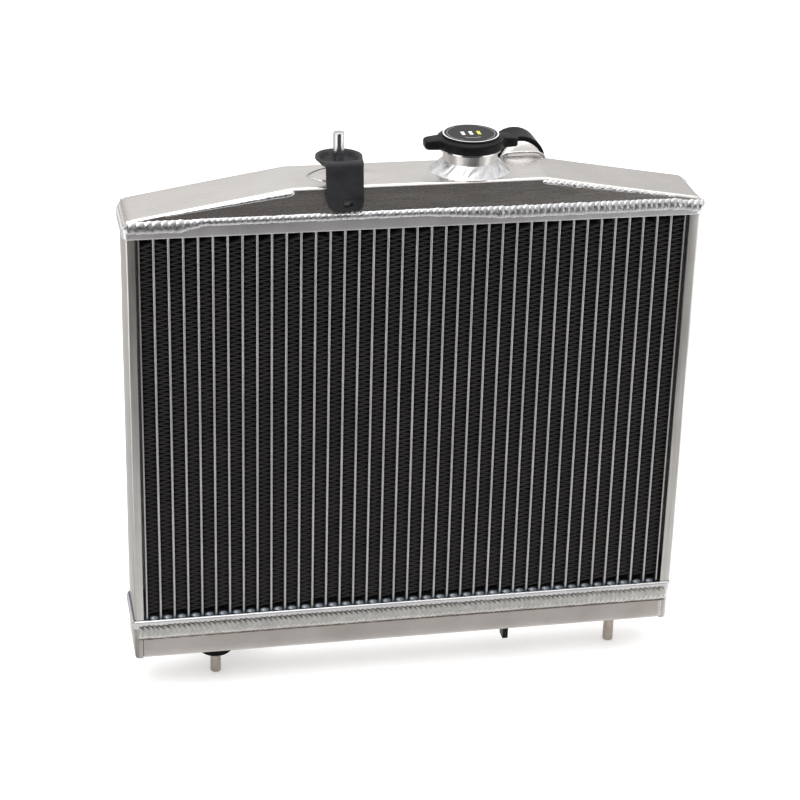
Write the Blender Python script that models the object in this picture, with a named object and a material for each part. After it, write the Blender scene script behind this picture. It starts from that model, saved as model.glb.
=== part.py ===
"""Car radiator: a brazed aluminium core between two welded tanks, with its pressure cap,
hose pipes, drain cock, top bracket and lower pins.

Frame: metres, +Z up, +X to the right seen from the front, front faces -Y.
The origin is the centre of the bottom tank's underside.
"""
import math

import bmesh
import bpy
from mathutils import Matrix, Vector

MM = 0.001
GAP = 0.3 * MM                      # air left between pieces that touch
ROUND = 32                          # facets of the larger round pieces
SMALL_ROUND = 20                    # facets of the smaller ones

# Core
TUBE_COUNT = 37
TUBE_PITCH = 10 * MM
TUBE_WIDTH = 1.8 * MM
TUBE_WALL = 0.35 * MM
ROW_INNER = 1.5 * MM                # each row of tubes runs from here ...
ROW_OUTER = 21 * MM                 # ... to here, measured from mid-depth
TUBE_CLEARANCE = 0.25 * MM
CORE_BOTTOM = 30.6 * MM
CORE_TOP = 322 * MM
FIN_END_SPACE = 3.4 * MM
FIN_HALF_DEPTH = 20.6 * MM
CORE_PLATE_X = 189.3 * MM
CORE_PLATE_THICKNESS = 1 * MM

# Headers and tanks
HEADER_HALF_WIDTH = 201 * MM
HALF_DEPTH = 24 * MM
HEADER_WALL = 1.6 * MM
LOWER_FLANGE = 6 * MM
UPPER_FLANGE = 8.1 * MM
TANK_WALL = 2 * MM
TANK_TOP = 353.8 * MM
TOP_TANK_HALF_WIDTH = 199 * MM
TOP_TANK_END_BEND = 8 * MM
LEFT_CREASE_X = -86 * MM
RIGHT_CREASE_X = 88 * MM
LEFT_SHOULDER_Z = 335.2 * MM
RIGHT_SHOULDER_Z = 334.2 * MM
BOTTOM_TANK_HALF_WIDTH = 199 * MM
END_SEAM_X = 193 * MM
UPPER_BEAD_HEIGHT = 5.3 * MM
LOWER_BEAD_HEIGHT = 8.3 * MM
BEAD_PROUD = 1.6 * MM

# Side channels
LEFT_CHANNEL_X = -198.8 * MM
RIGHT_CHANNEL_X = 200.4 * MM
CHANNEL_INNER_X = 192.6 * MM
CHANNEL_HALF_DEPTH = 22.6 * MM
CHANNEL_WALL = 1.5 * MM

# Filler neck and pressure cap
CAP_X = 39.3 * MM
NECK_RADIUS = 19 * MM
NECK_BORE = 16.7 * MM
NECK_FOOT = 349.5 * MM
NECK_RIM = 372.5 * MM
CAM_RADIUS = 20.6 * MM
SEAT_TOP = 354.5 * MM
SEAT_BORE = 11.5 * MM
OVERFLOW_Z = 364 * MM
OVERFLOW_RADIUS = 3.6 * MM
OVERFLOW_BORE = 2.5 * MM
OVERFLOW_END_Y = 46 * MM
CAP_BOTTOM = 370.8 * MM
CAP_TOP = 378.6 * MM
CAP_CEILING = 376 * MM
LOCK_PLATE_TOP = 375.6 * MM
CAP_RADIUS = 23.2 * MM
WING_SPAN = 65 * MM
WING_WIDTH = 13 * MM
LABEL_RADIUS = 19.75 * MM
SPRING_TURNS = 5.5
SPRING_RADIUS = 11.5 * MM
SPRING_WIRE = 0.9 * MM

# Hose pipes, behind the tanks
PIPE_RADIUS = 15.75 * MM
PIPE_WALL = 1.5 * MM
PIPE_WELD = 2.4 * MM
PIPE_ROUND_Y = 30 * MM              # the pipes are oval at the tank and round from here on
FOOT_HALF_WIDTH = 16 * MM
PIPE_END_Y = 52 * MM
UPPER_PIPE = (82.5 * MM, 347 * MM)
UPPER_FOOT = (338.6 * MM, 354.3 * MM)
LOWER_PIPE = (-120 * MM, 16.2 * MM)
LOWER_FOOT = (2.9 * MM, 21.7 * MM)
PLUG_RADIUS = 18.5 * MM
PLUG_START_Y = 30.5 * MM
PLUG_END_Y = 55 * MM

# Top mount
PAD_X = -46.7 * MM
BRACKET_LEFT = -64 * MM
BRACKET_RIGHT = -39 * MM
BRACKET_FRONT = -27.4 * MM
BRACKET_BACK = 8 * MM
BRACKET_SHEET = 2.2 * MM
BRACKET_FLOOR = 368 * MM
BRACKET_LIP = 371 * MM
BRACKET_LOWER_EDGE = 336.6 * MM
BRACKET_HOLE = (-49.6 * MM, 342 * MM)
BRACKET_HOLE_RADIUS = 3.4 * MM
STUD_X = -53 * MM
STUD_Y = -6.7 * MM
STUD_TOP = 386.5 * MM
STUD_RADIUS = 3.85 * MM

# Underside
PIN_RADIUS = 3.9 * MM
PIN_LENGTH = 28.9 * MM
LEFT_PIN_X = -138.5 * MM
RIGHT_PIN_X = 161.9 * MM
GROMMET_RADIUS = 12.3 * MM
DRAIN_X = 80 * MM
DRAIN_END = 19 * MM


def clear_scene():
    for item in list(bpy.data.objects):
        bpy.data.objects.remove(item, do_unlink=True)


def give_material(item, colour, roughness, metallic):
    material = bpy.data.materials.new(item.name)
    material.use_nodes = True
    shader = material.node_tree.nodes["Principled BSDF"]
    shader.inputs["Base Color"].default_value = (*colour, 1)
    shader.inputs["Roughness"].default_value = roughness
    shader.inputs["Metallic"].default_value = metallic
    item.data.materials.append(material)


def aluminium(item):
    give_material(item, (0.72, 0.71, 0.69), 0.35, 1.0)


def steel(item):
    give_material(item, (0.62, 0.62, 0.62), 0.25, 1.0)


def black_plastic(item):
    give_material(item, (0.02, 0.02, 0.02), 0.45, 0.0)


def black_rubber(item):
    give_material(item, (0.015, 0.015, 0.015), 0.75, 0.0)


def black_paint(item):
    give_material(item, (0.025, 0.025, 0.03), 0.5, 0.0)


def brass(item):
    give_material(item, (0.7, 0.5, 0.2), 0.35, 1.0)


def solid(name, vertices, faces, look, smooth=False):
    """A closed mesh object with its faces turned outwards."""
    shape = bmesh.new()
    corners = [shape.verts.new(point) for point in vertices]
    for face in faces:
        shape.faces.new([corners[index] for index in face])
    bmesh.ops.recalc_face_normals(shape, faces=shape.faces)
    mesh = bpy.data.meshes.new(name)
    shape.to_mesh(mesh)
    shape.free()
    item = bpy.data.objects.new(name, mesh)
    bpy.context.collection.objects.link(item)
    if smooth:
        mesh.shade_smooth()
        mesh.set_sharp_from_angle(angle=math.radians(40))
    if look:
        look(item)
    return item


def prism(name, outline, axis, start, end, look=None):
    """Extrude an outline along an axis; it is given in the other two axes, in order."""
    place = {
        "X": lambda u, v, w: (w, u, v),
        "Y": lambda u, v, w: (u, w, v),
        "Z": lambda u, v, w: (u, v, w),
    }[axis]
    count = len(outline)
    vertices = [place(u, v, start) for u, v in outline]
    vertices += [place(u, v, end) for u, v in outline]
    faces = [list(range(count)), list(range(2 * count - 1, count - 1, -1))]
    for index in range(count):
        after = (index + 1) % count
        faces.append([index, after, after + count, index + count])
    return solid(name, vertices, faces, look)


def block(name, low, high, look=None):
    outline = [(low[0], low[1]), (high[0], low[1]), (high[0], high[1]), (low[0], high[1])]
    return prism(name, outline, "Z", low[2], high[2], look)


def turned(name, profile, centre, look=None, axis="Z", facets=ROUND, depth_scale=None):
    """Turn a closed profile of (radius, height) points about an axis through centre."""
    frames = {
        "Z": Matrix.Identity(3),
        "Y": Matrix(((1, 0, 0), (0, 0, 1), (0, -1, 0))),
    }
    vertices = []
    rings = []
    for radius, height in profile:
        if radius == 0:
            rings.append([len(vertices)])
            vertices.append(Vector((0, 0, height)))
            continue
        rings.append(list(range(len(vertices), len(vertices) + facets)))
        stretch = depth_scale(radius) if depth_scale else 1.0
        for step in range(facets):
            angle = 2 * math.pi * step / facets
            x = radius * math.cos(angle)
            y = radius * math.sin(angle) * stretch
            vertices.append(Vector((x, y, height)))
    faces = []
    for index, ring in enumerate(rings):
        other = rings[(index + 1) % len(rings)]
        if len(ring) == 1 and len(other) == 1:
            continue
        for step in range(facets):
            after = (step + 1) % facets
            if len(ring) == 1:
                faces.append([ring[0], other[step], other[after]])
            elif len(other) == 1:
                faces.append([ring[step], ring[after], other[0]])
            else:
                faces.append([ring[step], ring[after], other[after], other[step]])
    placed = [frames[axis] @ point + Vector(centre) for point in vertices]
    return solid(name, placed, faces, look, smooth=True)


def disc(name, radius, low, high, centre_xy, look=None, facets=ROUND):
    centre = (centre_xy[0], centre_xy[1], 0)
    return turned(name, [(0, low), (radius, low), (radius, high), (0, high)], centre, look, facets=facets)


def ring(name, inner, outer, low, high, centre_xy, look=None, facets=ROUND):
    centre = (centre_xy[0], centre_xy[1], 0)
    profile = [(inner, low), (outer, low), (outer, high), (inner, high)]
    return turned(name, profile, centre, look, facets=facets)


def rounded(corners, steps=4):
    """An outline of (x, y, radius) corners with each corner turned into an arc."""
    outline = []
    for index, (x, y, radius) in enumerate(corners):
        here = Vector((x, y))
        if radius == 0:
            outline.append((x, y))
            continue
        before = Vector(corners[index - 1][:2])
        after = Vector(corners[(index + 1) % len(corners)][:2])
        back = (before - here).normalized()
        ahead = (after - here).normalized()
        half = back.angle(ahead) / 2
        reach = radius / math.tan(half)
        middle = here + (back + ahead).normalized() * (radius / math.sin(half))
        first = here + back * reach - middle
        last = here + ahead * reach - middle
        sweep = math.atan2(first.cross(last), first.dot(last))
        for step in range(steps + 1):
            outline.append(tuple(middle + Matrix.Rotation(sweep * step / steps, 2) @ first))
    return outline


def as_cutter(item):
    item.hide_render = True
    item.display_type = "WIRE"
    return item


def combine(item, other, operation):
    change = item.modifiers.new(other.name, "BOOLEAN")
    change.operation = operation
    change.solver = "EXACT"
    change.object = as_cutter(other)
    return item


def cut(item, other):
    return combine(item, other, "DIFFERENCE")


def fuse(item, other):
    return combine(item, other, "UNION")


def merged(name, pieces):
    """Join separate cutter meshes into one object."""
    mesh = bpy.data.meshes.new(name)
    shape = bmesh.new()
    for piece in pieces:
        shape.from_mesh(piece.data)
    shape.to_mesh(mesh)
    shape.free()
    for piece in pieces:
        bpy.data.objects.remove(piece, do_unlink=True)
    item = bpy.data.objects.new(name, mesh)
    bpy.context.collection.objects.link(item)
    return item


def tube_positions():
    middle = (TUBE_COUNT - 1) / 2
    return [(index - middle) * TUBE_PITCH for index in range(TUBE_COUNT)]


def tube_bars(name, inset, low, high):
    """Both rows of tubes as solid bars, each side moved in by inset."""
    half = TUBE_WIDTH / 2 - inset
    bars = []
    for x in tube_positions():
        for side in (-1, 1):
            near, far = sorted((side * (ROW_INNER + inset), side * (ROW_OUTER - inset)))
            bars.append(block(name, (x - half, near, low), (x + half, far, high)))
    return merged(name, bars)


def tube_bank():
    """All the flat tubes, held by the braze sheet that lies on the upper header's plate."""
    past_header = 2.5 * MM
    low = CORE_BOTTOM - HEADER_WALL - past_header
    high = CORE_TOP + HEADER_WALL + past_header
    sheet_low = CORE_TOP + HEADER_WALL + GAP
    inside_x = HEADER_HALF_WIDTH - HEADER_WALL - 1 * MM
    inside_y = HALF_DEPTH - HEADER_WALL - 0.5 * MM
    sheet = block(
        "tube_bank",
        (-inside_x, -inside_y, sheet_low),
        (inside_x, inside_y, sheet_low + 0.8 * MM),
        aluminium,
    )
    fuse(sheet, tube_bars("tube_outsides", 0, low, high))
    overshoot = 1 * MM
    return cut(sheet, tube_bars("tube_bores", TUBE_WALL, low - overshoot, high + overshoot))


def fin_pack():
    """The fins as one comb that fills the spaces between the tubes."""
    half_slot = TUBE_WIDTH / 2 + TUBE_CLEARANCE
    spine = ROW_INNER - GAP
    edge_x = CORE_PLATE_X - GAP
    front = [(-edge_x, -FIN_HALF_DEPTH)]
    for x in tube_positions():
        front += [(x - half_slot, -FIN_HALF_DEPTH), (x - half_slot, -spine)]
        front += [(x + half_slot, -spine), (x + half_slot, -FIN_HALF_DEPTH)]
    front.append((edge_x, -FIN_HALF_DEPTH))
    back = [(-x, -y) for x, y in front]
    low = CORE_BOTTOM + FIN_END_SPACE
    high = CORE_TOP - FIN_END_SPACE
    return prism("fin_pack", front + back, "Z", low, high, aluminium)


def core_plates():
    for side, name in ((-1, "core_plate_left"), (1, "core_plate_right")):
        near, far = sorted((side * CORE_PLATE_X, side * (CORE_PLATE_X + CORE_PLATE_THICKNESS)))
        block(
            name,
            (near, -ROW_OUTER, CORE_BOTTOM + GAP),
            (far, ROW_OUTER, CORE_TOP - GAP),
            aluminium,
        )


def header_plan(inset):
    """The outline of a header seen from above, each side moved in by inset."""
    corner = 4 * MM - inset
    x, y = HEADER_HALF_WIDTH - inset, HALF_DEPTH - inset
    return rounded([(-x, -y, corner), (x, -y, corner), (x, y, corner), (-x, y, corner)])


def header(name, plate_z, rim_z):
    """A shallow pan whose plate takes the tube ends and whose flange meets the tank."""
    low, high = sorted((plate_z, rim_z))
    pan = prism(name, header_plan(0), "Z", low, high, aluminium)
    overshoot = 1 * MM
    if rim_z > plate_z:
        inside = (plate_z + HEADER_WALL, rim_z + overshoot)
    else:
        inside = (rim_z - overshoot, plate_z - HEADER_WALL)
    cut(pan, prism(name + "_inside", header_plan(HEADER_WALL), "Z", *inside))
    half_slot = TUBE_WIDTH / 2 + TUBE_CLEARANCE
    reach = ROW_OUTER + TUBE_CLEARANCE
    slots = [
        block(name, (tube - half_slot, -reach, low - overshoot), (tube + half_slot, reach, high + overshoot))
        for tube in tube_positions()
    ]
    return cut(pan, merged(name + "_slots", slots))


def side_channel(name, side):
    """A channel that stiffens one side of the core, open towards the core."""
    outer = RIGHT_CHANNEL_X if side > 0 else LEFT_CHANNEL_X
    inner = side * CHANNEL_INNER_X
    web = outer - side * CHANNEL_WALL
    y = CHANNEL_HALF_DEPTH
    lip = y - CHANNEL_WALL
    bend = 2.4 * MM
    outline = rounded([
        (inner, -y, 0), (outer, -y, bend), (outer, y, bend), (inner, y, 0),
        (inner, lip, 0), (web, lip, 0), (web, -lip, 0), (inner, -lip, 0),
    ])
    return prism(name, outline, "Z", CORE_BOTTOM + GAP, CORE_TOP - GAP, aluminium)


def top_tank_outline(inset):
    """The front view of the top tank, each side moved in by inset; it runs on below the joint."""
    low = CORE_TOP + 4 * MM
    side = TOP_TANK_HALF_WIDTH - inset
    bend = TOP_TANK_END_BEND - inset
    return rounded([
        (-side, low, 0),
        (side, low, 0),
        (side, RIGHT_SHOULDER_Z - inset, bend),
        (RIGHT_CREASE_X - inset / 6, TANK_TOP - inset, 0),
        (LEFT_CREASE_X + inset / 6, TANK_TOP - inset, 0),
        (-side, LEFT_SHOULDER_Z - inset, bend),
    ], steps=3)


def top_tank():
    """The folded top tank, open underneath, with holes for the neck and the upper pipe."""
    tank = prism("top_tank", top_tank_outline(0), "Y", -HALF_DEPTH, HALF_DEPTH, aluminium)
    inner_y = HALF_DEPTH - TANK_WALL
    cut(tank, prism("top_tank_inside", top_tank_outline(TANK_WALL), "Y", -inner_y, inner_y))
    side = TOP_TANK_HALF_WIDTH + 2 * MM
    depth = HALF_DEPTH + 2 * MM
    joint = CORE_TOP + UPPER_FLANGE + GAP
    cut(tank, block("below_joint", (-side, -depth, CORE_TOP), (side, depth, joint)))
    cut(tank, disc("neck_hole", NECK_RADIUS + GAP, TANK_TOP - 6 * MM, TANK_TOP + 6 * MM, (CAP_X, 0)))
    return cut(tank, pipe_hole("upper_pipe_hole", UPPER_PIPE[0], UPPER_FOOT))


def pipe_hole(name, x, foot):
    """A cutter for a pipe's hole through the back of a tank."""
    half = FOOT_HALF_WIDTH - 3.5 * MM
    low, high = foot[0] + 2.4 * MM, foot[1] - 3.3 * MM
    corner = 3 * MM
    outline = rounded([
        (x - half, low, corner), (x + half, low, corner), (x + half, high, corner), (x - half, high, corner),
    ])
    return prism(name, outline, "Y", HALF_DEPTH - 5 * MM, HALF_DEPTH + 5 * MM)


def bottom_tank():
    """The folded channel of the bottom tank, open upwards and at both ends."""
    y = HALF_DEPTH
    inner_y = y - TANK_WALL
    top = CORE_BOTTOM - LOWER_FLANGE - GAP
    fold = 3 * MM
    outline = rounded([
        (-y, top, 0), (-y, 0, fold), (y, 0, fold), (y, top, 0),
        (inner_y, top, 0), (inner_y, TANK_WALL, fold - TANK_WALL),
        (-inner_y, TANK_WALL, fold - TANK_WALL), (-inner_y, top, 0),
    ])
    tank = prism("bottom_tank", outline, "X", -END_SEAM_X, END_SEAM_X, aluminium)
    cut(tank, pipe_hole("lower_pipe_hole", LOWER_PIPE[0], LOWER_FOOT))
    cut(tank, disc("drain_hole", 4 * MM, -3 * MM, 5 * MM, (DRAIN_X, 0), facets=SMALL_ROUND))
    return tank


def bottom_tank_end(name, side):
    """A pressed cap that closes one end of the bottom tank."""
    seam = side * (END_SEAM_X + GAP)
    outer = side * BOTTOM_TANK_HALF_WIDTH
    top = CORE_BOTTOM - LOWER_FLANGE - GAP
    y = HALF_DEPTH
    corner = 3.5 * MM
    outline = rounded([(seam, -y, 0), (outer, -y, corner), (outer, y, corner), (seam, y, 0)])
    cap = prism(name, outline, "Z", 0, top, aluminium)
    near, far = sorted((seam - side * 2 * MM, outer - side * TANK_WALL))
    hollow = block(
        name + "_inside",
        (near, -y + TANK_WALL, TANK_WALL),
        (far, y - TANK_WALL, top + 2 * MM),
    )
    return cut(cap, hollow)


def bead_ring(name, half_width, half_depth, low, high):
    """A weld run all round a joint, as a plain band with sloped edges."""
    loops = []
    slope = 1.2 * MM
    for grow, z in ((GAP, low), (BEAD_PROUD, low + slope), (BEAD_PROUD, high - slope), (GAP, high)):
        x, y = half_width + grow, half_depth + grow
        loops.append((rounded([(-x, -y, grow), (x, -y, grow), (x, y, grow), (-x, y, grow)]), z))
    count = len(loops[0][0])
    vertices = [(x, y, z) for outline, z in loops for x, y in outline]
    faces = []
    for loop in range(len(loops)):
        other = (loop + 1) % len(loops)
        for index in range(count):
            after = (index + 1) % count
            faces.append([
                loop * count + index, loop * count + after, other * count + after, other * count + index,
            ])
    return solid(name, vertices, faces, aluminium)


def filler_neck():
    """The neck, with its cam rim at the top and the valve's seat inside."""
    cam_low = NECK_RIM - 1.6 * MM
    seat_low = SEAT_TOP - 1.5 * MM
    neck = turned(
        "filler_neck",
        [
            (NECK_BORE, NECK_FOOT), (NECK_RADIUS, NECK_FOOT), (NECK_RADIUS, cam_low),
            (CAM_RADIUS, cam_low), (CAM_RADIUS, NECK_RIM), (NECK_BORE, NECK_RIM),
            (NECK_BORE, SEAT_TOP), (SEAT_BORE, SEAT_TOP), (SEAT_BORE, seat_low), (NECK_BORE, seat_low),
        ],
        (CAP_X, 0, 0),
        aluminium,
        facets=40,
    )
    for side in (-1, 1):
        near, far = sorted((side * 19.25 * MM, side * 23 * MM))
        notch = block(
            f"cam_notch_{side}",
            (CAP_X - 8.5 * MM, near, cam_low - 2 * MM),
            (CAP_X + 8.5 * MM, far, NECK_RIM + 2 * MM),
        )
        cut(neck, notch)
    bore = disc_along_y("overflow_hole", OVERFLOW_BORE, 12 * MM, 24 * MM, (CAP_X, OVERFLOW_Z))
    return cut(neck, bore)


def disc_along_y(name, radius, start, end, centre_xz, look=None, facets=SMALL_ROUND):
    profile = [(0, 0), (radius, 0), (radius, end - start), (0, end - start)]
    return turned(name, profile, (centre_xz[0], start, centre_xz[1]), look, "Y", facets)


def pipe(name, radius, bore, start, end, centre_xz, look, facets=ROUND):
    length = end - start
    profile = [(bore, 0), (radius, 0), (radius, length), (bore, length)]
    return turned(name, profile, (centre_xz[0], start, centre_xz[1]), look, "Y", facets)


def plug(name, centre_xz):
    """A push-on plastic cap that keeps dirt out of a hose pipe."""
    depth = PLUG_END_Y - PLUG_START_Y
    inner = PIPE_RADIUS + GAP
    floor = PIPE_END_Y - PLUG_START_Y + GAP
    profile = [
        (inner, 0), (PLUG_RADIUS, 0), (PLUG_RADIUS, depth - 1.5 * MM), (PLUG_RADIUS - 1.5 * MM, depth),
        (0, depth), (0, floor), (inner, floor),
    ]
    return turned(name, profile, (centre_xz[0], PLUG_START_Y, centre_xz[1]), black_plastic, "Y")


def pipe_section(y, place, foot, offset):
    """A pipe's outline at depth y, moved out by offset: a flat oval at the tank, then round."""
    start = HALF_DEPTH + GAP
    share = min(1.0, max(0.0, (y - start) / (PIPE_ROUND_Y - start)))
    share = math.sin(share * math.pi / 2)
    foot_half = (foot[1] - foot[0]) / 2
    foot_middle = (foot[1] + foot[0]) / 2
    half_x = FOOT_HALF_WIDTH + (PIPE_RADIUS - FOOT_HALF_WIDTH) * share + offset
    half_z = foot_half + (PIPE_RADIUS - foot_half) * share + offset
    middle = foot_middle + (place[1] - foot_middle) * share
    power = 0.5 + 0.5 * share
    points = []
    for step in range(ROUND):
        angle = 2 * math.pi * step / ROUND
        across, up = math.cos(angle), math.sin(angle)
        x = math.copysign(abs(across) ** power, across)
        z = math.copysign(abs(up) ** power, up)
        points.append((place[0] + half_x * x, y, middle + half_z * z))
    return points


def skin(name, sections, look):
    """Join closed sections, each to the next and the last to the first."""
    count = len(sections[0])
    vertices = [point for section in sections for point in section]
    faces = []
    for index in range(len(sections)):
        other = (index + 1) % len(sections)
        for step in range(count):
            after = (step + 1) % count
            faces.append([
                index * count + step, index * count + after, other * count + after, other * count + step,
            ])
    return solid(name, vertices, faces, look, smooth=True)


def hose_pipes():
    start = HALF_DEPTH + GAP
    for name, place, foot in (("upper", UPPER_PIPE, UPPER_FOOT), ("lower", LOWER_PIPE, LOWER_FOOT)):
        stations = [start + (PIPE_ROUND_Y - start) * share for share in (0, 0.15, 0.35, 0.6, 1)]
        stations.append(PIPE_END_Y)
        outside = [pipe_section(y, place, foot, 0) for y in stations]
        inside = [pipe_section(y, place, foot, -PIPE_WALL) for y in reversed(stations)]
        skin(f"{name}_hose_pipe", outside + inside, aluminium)
        weld_end = start + 1.8 * MM
        weld = [
            pipe_section(start, place, foot, GAP), pipe_section(start, place, foot, PIPE_WELD),
            pipe_section(weld_end, place, foot, 0.9 * MM), pipe_section(weld_end, place, foot, GAP),
        ]
        skin(f"{name}_pipe_weld", weld, aluminium)
        plug(f"{name}_pipe_plug", place)


def neck_weld():
    """The fat weld round the foot of the filler neck, wider across than front to back."""
    outer = 28.3 * MM
    inner = NECK_RADIUS + GAP
    base = TANK_TOP + GAP
    squeeze = 24 / 28.3
    return turned(
        "neck_weld",
        [(inner, base), (outer, base), (outer - 1.5 * MM, base + 2.5 * MM), (inner + 2 * MM, base + 4.5 * MM),
         (inner, base + 5.5 * MM)],
        (CAP_X, 0, 0),
        aluminium,
        depth_scale=lambda radius: squeeze if radius > inner + 3 * MM else 1.0,
    )


def cap_shell():
    """The moulded cap cover with its two grip wings."""
    shell = turned(
        "cap_shell",
        [
            (21.9 * MM, CAP_BOTTOM), (CAP_RADIUS, CAP_BOTTOM), (CAP_RADIUS, CAP_TOP - 1.5 * MM),
            (CAP_RADIUS - 1.5 * MM, CAP_TOP), (0, CAP_TOP), (0, CAP_CEILING), (21.9 * MM, CAP_CEILING),
        ],
        (CAP_X, 0, 0),
        black_plastic,
        facets=40,
    )
    half = WING_SPAN / 2
    width = WING_WIDTH / 2
    for side in (-1, 1):
        root = CAP_X + side * 22.4 * MM
        tip = CAP_X + side * half
        outline = rounded([
            (root, -width - 3 * MM, 0), (tip, -width, 3 * MM),
            (tip, width, 3 * MM), (root, width + 3 * MM, 0),
        ])
        fuse(shell, prism(f"cap_wing_{side}", outline, "Z", CAP_BOTTOM + 0.2 * MM, CAP_TOP - 0.4 * MM))
    return shell


def cap_lock_plate():
    """The metal cup inside the cap; its two lugs hook under the neck's cam rim."""
    low = 369.3 * MM
    plate = turned(
        "cap_lock_plate",
        [
            (21.0 * MM, low), (21.6 * MM, low), (21.6 * MM, LOCK_PLATE_TOP), (0, LOCK_PLATE_TOP),
            (0, LOCK_PLATE_TOP - 0.8 * MM), (21.0 * MM, LOCK_PLATE_TOP - 0.8 * MM),
        ],
        (CAP_X, 0, 0),
        steel,
        facets=40,
    )
    for side in (-1, 1):
        near, far = sorted((CAP_X + side * 19.5 * MM, CAP_X + side * 21.3 * MM))
        fuse(plate, block(f"lock_lug_{side}", (near, -5 * MM, low + 0.1 * MM), (far, 5 * MM, low + 1 * MM)))
    return plate


def spring_coil(name, centre_xy, radius, wire, low, high, turns, look):
    """A round-wire helical spring with closed ends."""
    around = 6
    steps = int(turns * 14)
    rise = high - low - 2 * wire
    vertices = []
    for step in range(steps + 1):
        share = step / steps
        angle = 2 * math.pi * turns * share
        centre = Vector((radius * math.cos(angle), radius * math.sin(angle), low + wire + rise * share))
        outward = Vector((math.cos(angle), math.sin(angle), 0))
        for corner in range(around):
            turn = 2 * math.pi * corner / around
            point = centre + outward * wire * math.cos(turn) + Vector((0, 0, wire * math.sin(turn)))
            vertices.append(point + Vector((centre_xy[0], centre_xy[1], 0)))
    faces = [list(range(around)), list(range(steps * around, (steps + 1) * around))]
    for step in range(steps):
        for corner in range(around):
            after = (corner + 1) % around
            first = step * around
            faces.append([first + corner, first + after, first + around + after, first + around + corner])
    return solid(name, vertices, faces, look, smooth=True)


def pressure_cap():
    axis = (CAP_X, 0)
    cap_shell()
    disc("cap_label", LABEL_RADIUS, CAP_TOP + GAP, CAP_TOP + 1.4 * MM, axis, black_plastic, facets=48)
    cap_lock_plate()
    ring("cap_upper_seal", 14.5 * MM, 20.4 * MM, NECK_RIM + GAP, 374.5 * MM, axis, black_rubber)
    spring_low, spring_high = 358.2 * MM, 374.5 * MM
    spring_coil("cap_spring", axis, SPRING_RADIUS, SPRING_WIRE, spring_low, spring_high, SPRING_TURNS, steel)
    seal_low = SEAT_TOP + GAP
    ring("cap_valve_seal", 11.8 * MM, 15.4 * MM, seal_low, seal_low + 1.6 * MM, axis, black_rubber)
    plate_low = seal_low + 1.9 * MM
    ring("cap_valve_plate", 3 * MM, 15.8 * MM, plate_low, plate_low + 1.2 * MM, axis, steel)
    turned(
        "cap_vacuum_valve",
        [
            (0, plate_low - 1.5 * MM), (7 * MM, plate_low - 1.5 * MM), (7 * MM, plate_low - GAP),
            (2.2 * MM, plate_low - GAP), (2.2 * MM, plate_low + 5 * MM), (0, plate_low + 5 * MM),
        ],
        (CAP_X, 0, 0),
        brass,
        facets=SMALL_ROUND,
    )


def mount_pad():
    """The raised pad on the tank top that the bracket stands on."""
    base = TANK_TOP + GAP
    squeeze = 19 / 26.6
    return turned(
        "mount_pad",
        [(0, base), (26.6 * MM, base), (24 * MM, base + 2.2 * MM), (0, base + 3 * MM)],
        (PAD_X, 0, 0),
        aluminium,
        depth_scale=lambda radius: squeeze,
    )


def mount_bracket():
    """The pressed bracket: a floor for the stud, a front web with a bolt hole, two side walls."""
    sheet = BRACKET_SHEET
    left, right = BRACKET_LEFT, BRACKET_RIGHT
    front, back = BRACKET_FRONT, BRACKET_BACK
    web = rounded([
        (left, BRACKET_LIP, 0), (left + 0.5 * MM, BRACKET_LOWER_EDGE, 8 * MM),
        (right, BRACKET_LOWER_EDGE, 5 * MM), (right, BRACKET_LIP, 0),
    ])
    bracket = prism("mount_bracket", web, "Y", front, front + sheet, black_paint)
    inset = 0.3 * MM
    floor = rounded([
        (left + inset, front + inset, 0), (right - inset, front + inset, 0),
        (right - inset, back, 9 * MM), (left + inset, back, 9 * MM),
    ])
    fuse(bracket, prism("bracket_floor", floor, "Z", BRACKET_FLOOR - sheet, BRACKET_FLOOR))
    wall_low = TANK_TOP - 0.2 * MM
    wall = [
        (front + 0.5 * MM, BRACKET_LIP - 0.2 * MM), (front + 0.5 * MM, wall_low),
        (-4 * MM, BRACKET_FLOOR - sheet - 1 * MM), (-2 * MM, BRACKET_LIP - 1 * MM),
    ]
    fuse(bracket, prism("bracket_wall_right", wall, "X", right - sheet, right - inset / 2))
    flare_top = BRACKET_LIP + 3.6 * MM
    flare = [
        (left + inset, wall_low), (left - 2.6 * MM, BRACKET_FLOOR), (left - 2.4 * MM, flare_top),
        (left - 0.6 * MM, flare_top), (left + 0.9 * MM, BRACKET_FLOOR + 0.4 * MM), (left + sheet, wall_low),
    ]
    left_wall = prism("bracket_wall_left", flare, "Y", front + 0.5 * MM, -1 * MM)
    below = [
        (front + sheet - inset, wall_low), (-4 * MM, BRACKET_FLOOR - sheet - 1 * MM),
        (6 * MM, BRACKET_FLOOR - sheet - 1 * MM), (6 * MM, wall_low - 4 * MM),
        (front + sheet - inset, wall_low - 4 * MM),
    ]
    cut(left_wall, prism("below_left_wall", below, "X", left - 6 * MM, left + 6 * MM))
    fuse(bracket, left_wall)
    cut(bracket, disc_along_y(
        "bracket_hole", BRACKET_HOLE_RADIUS, front - 3 * MM, front + 6 * MM, BRACKET_HOLE,
    ))
    cut(bracket, disc(
        "stud_hole", STUD_RADIUS + GAP, BRACKET_FLOOR - 8 * MM, BRACKET_FLOOR + 8 * MM, (STUD_X, STUD_Y),
        facets=SMALL_ROUND,
    ))
    return bracket


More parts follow.
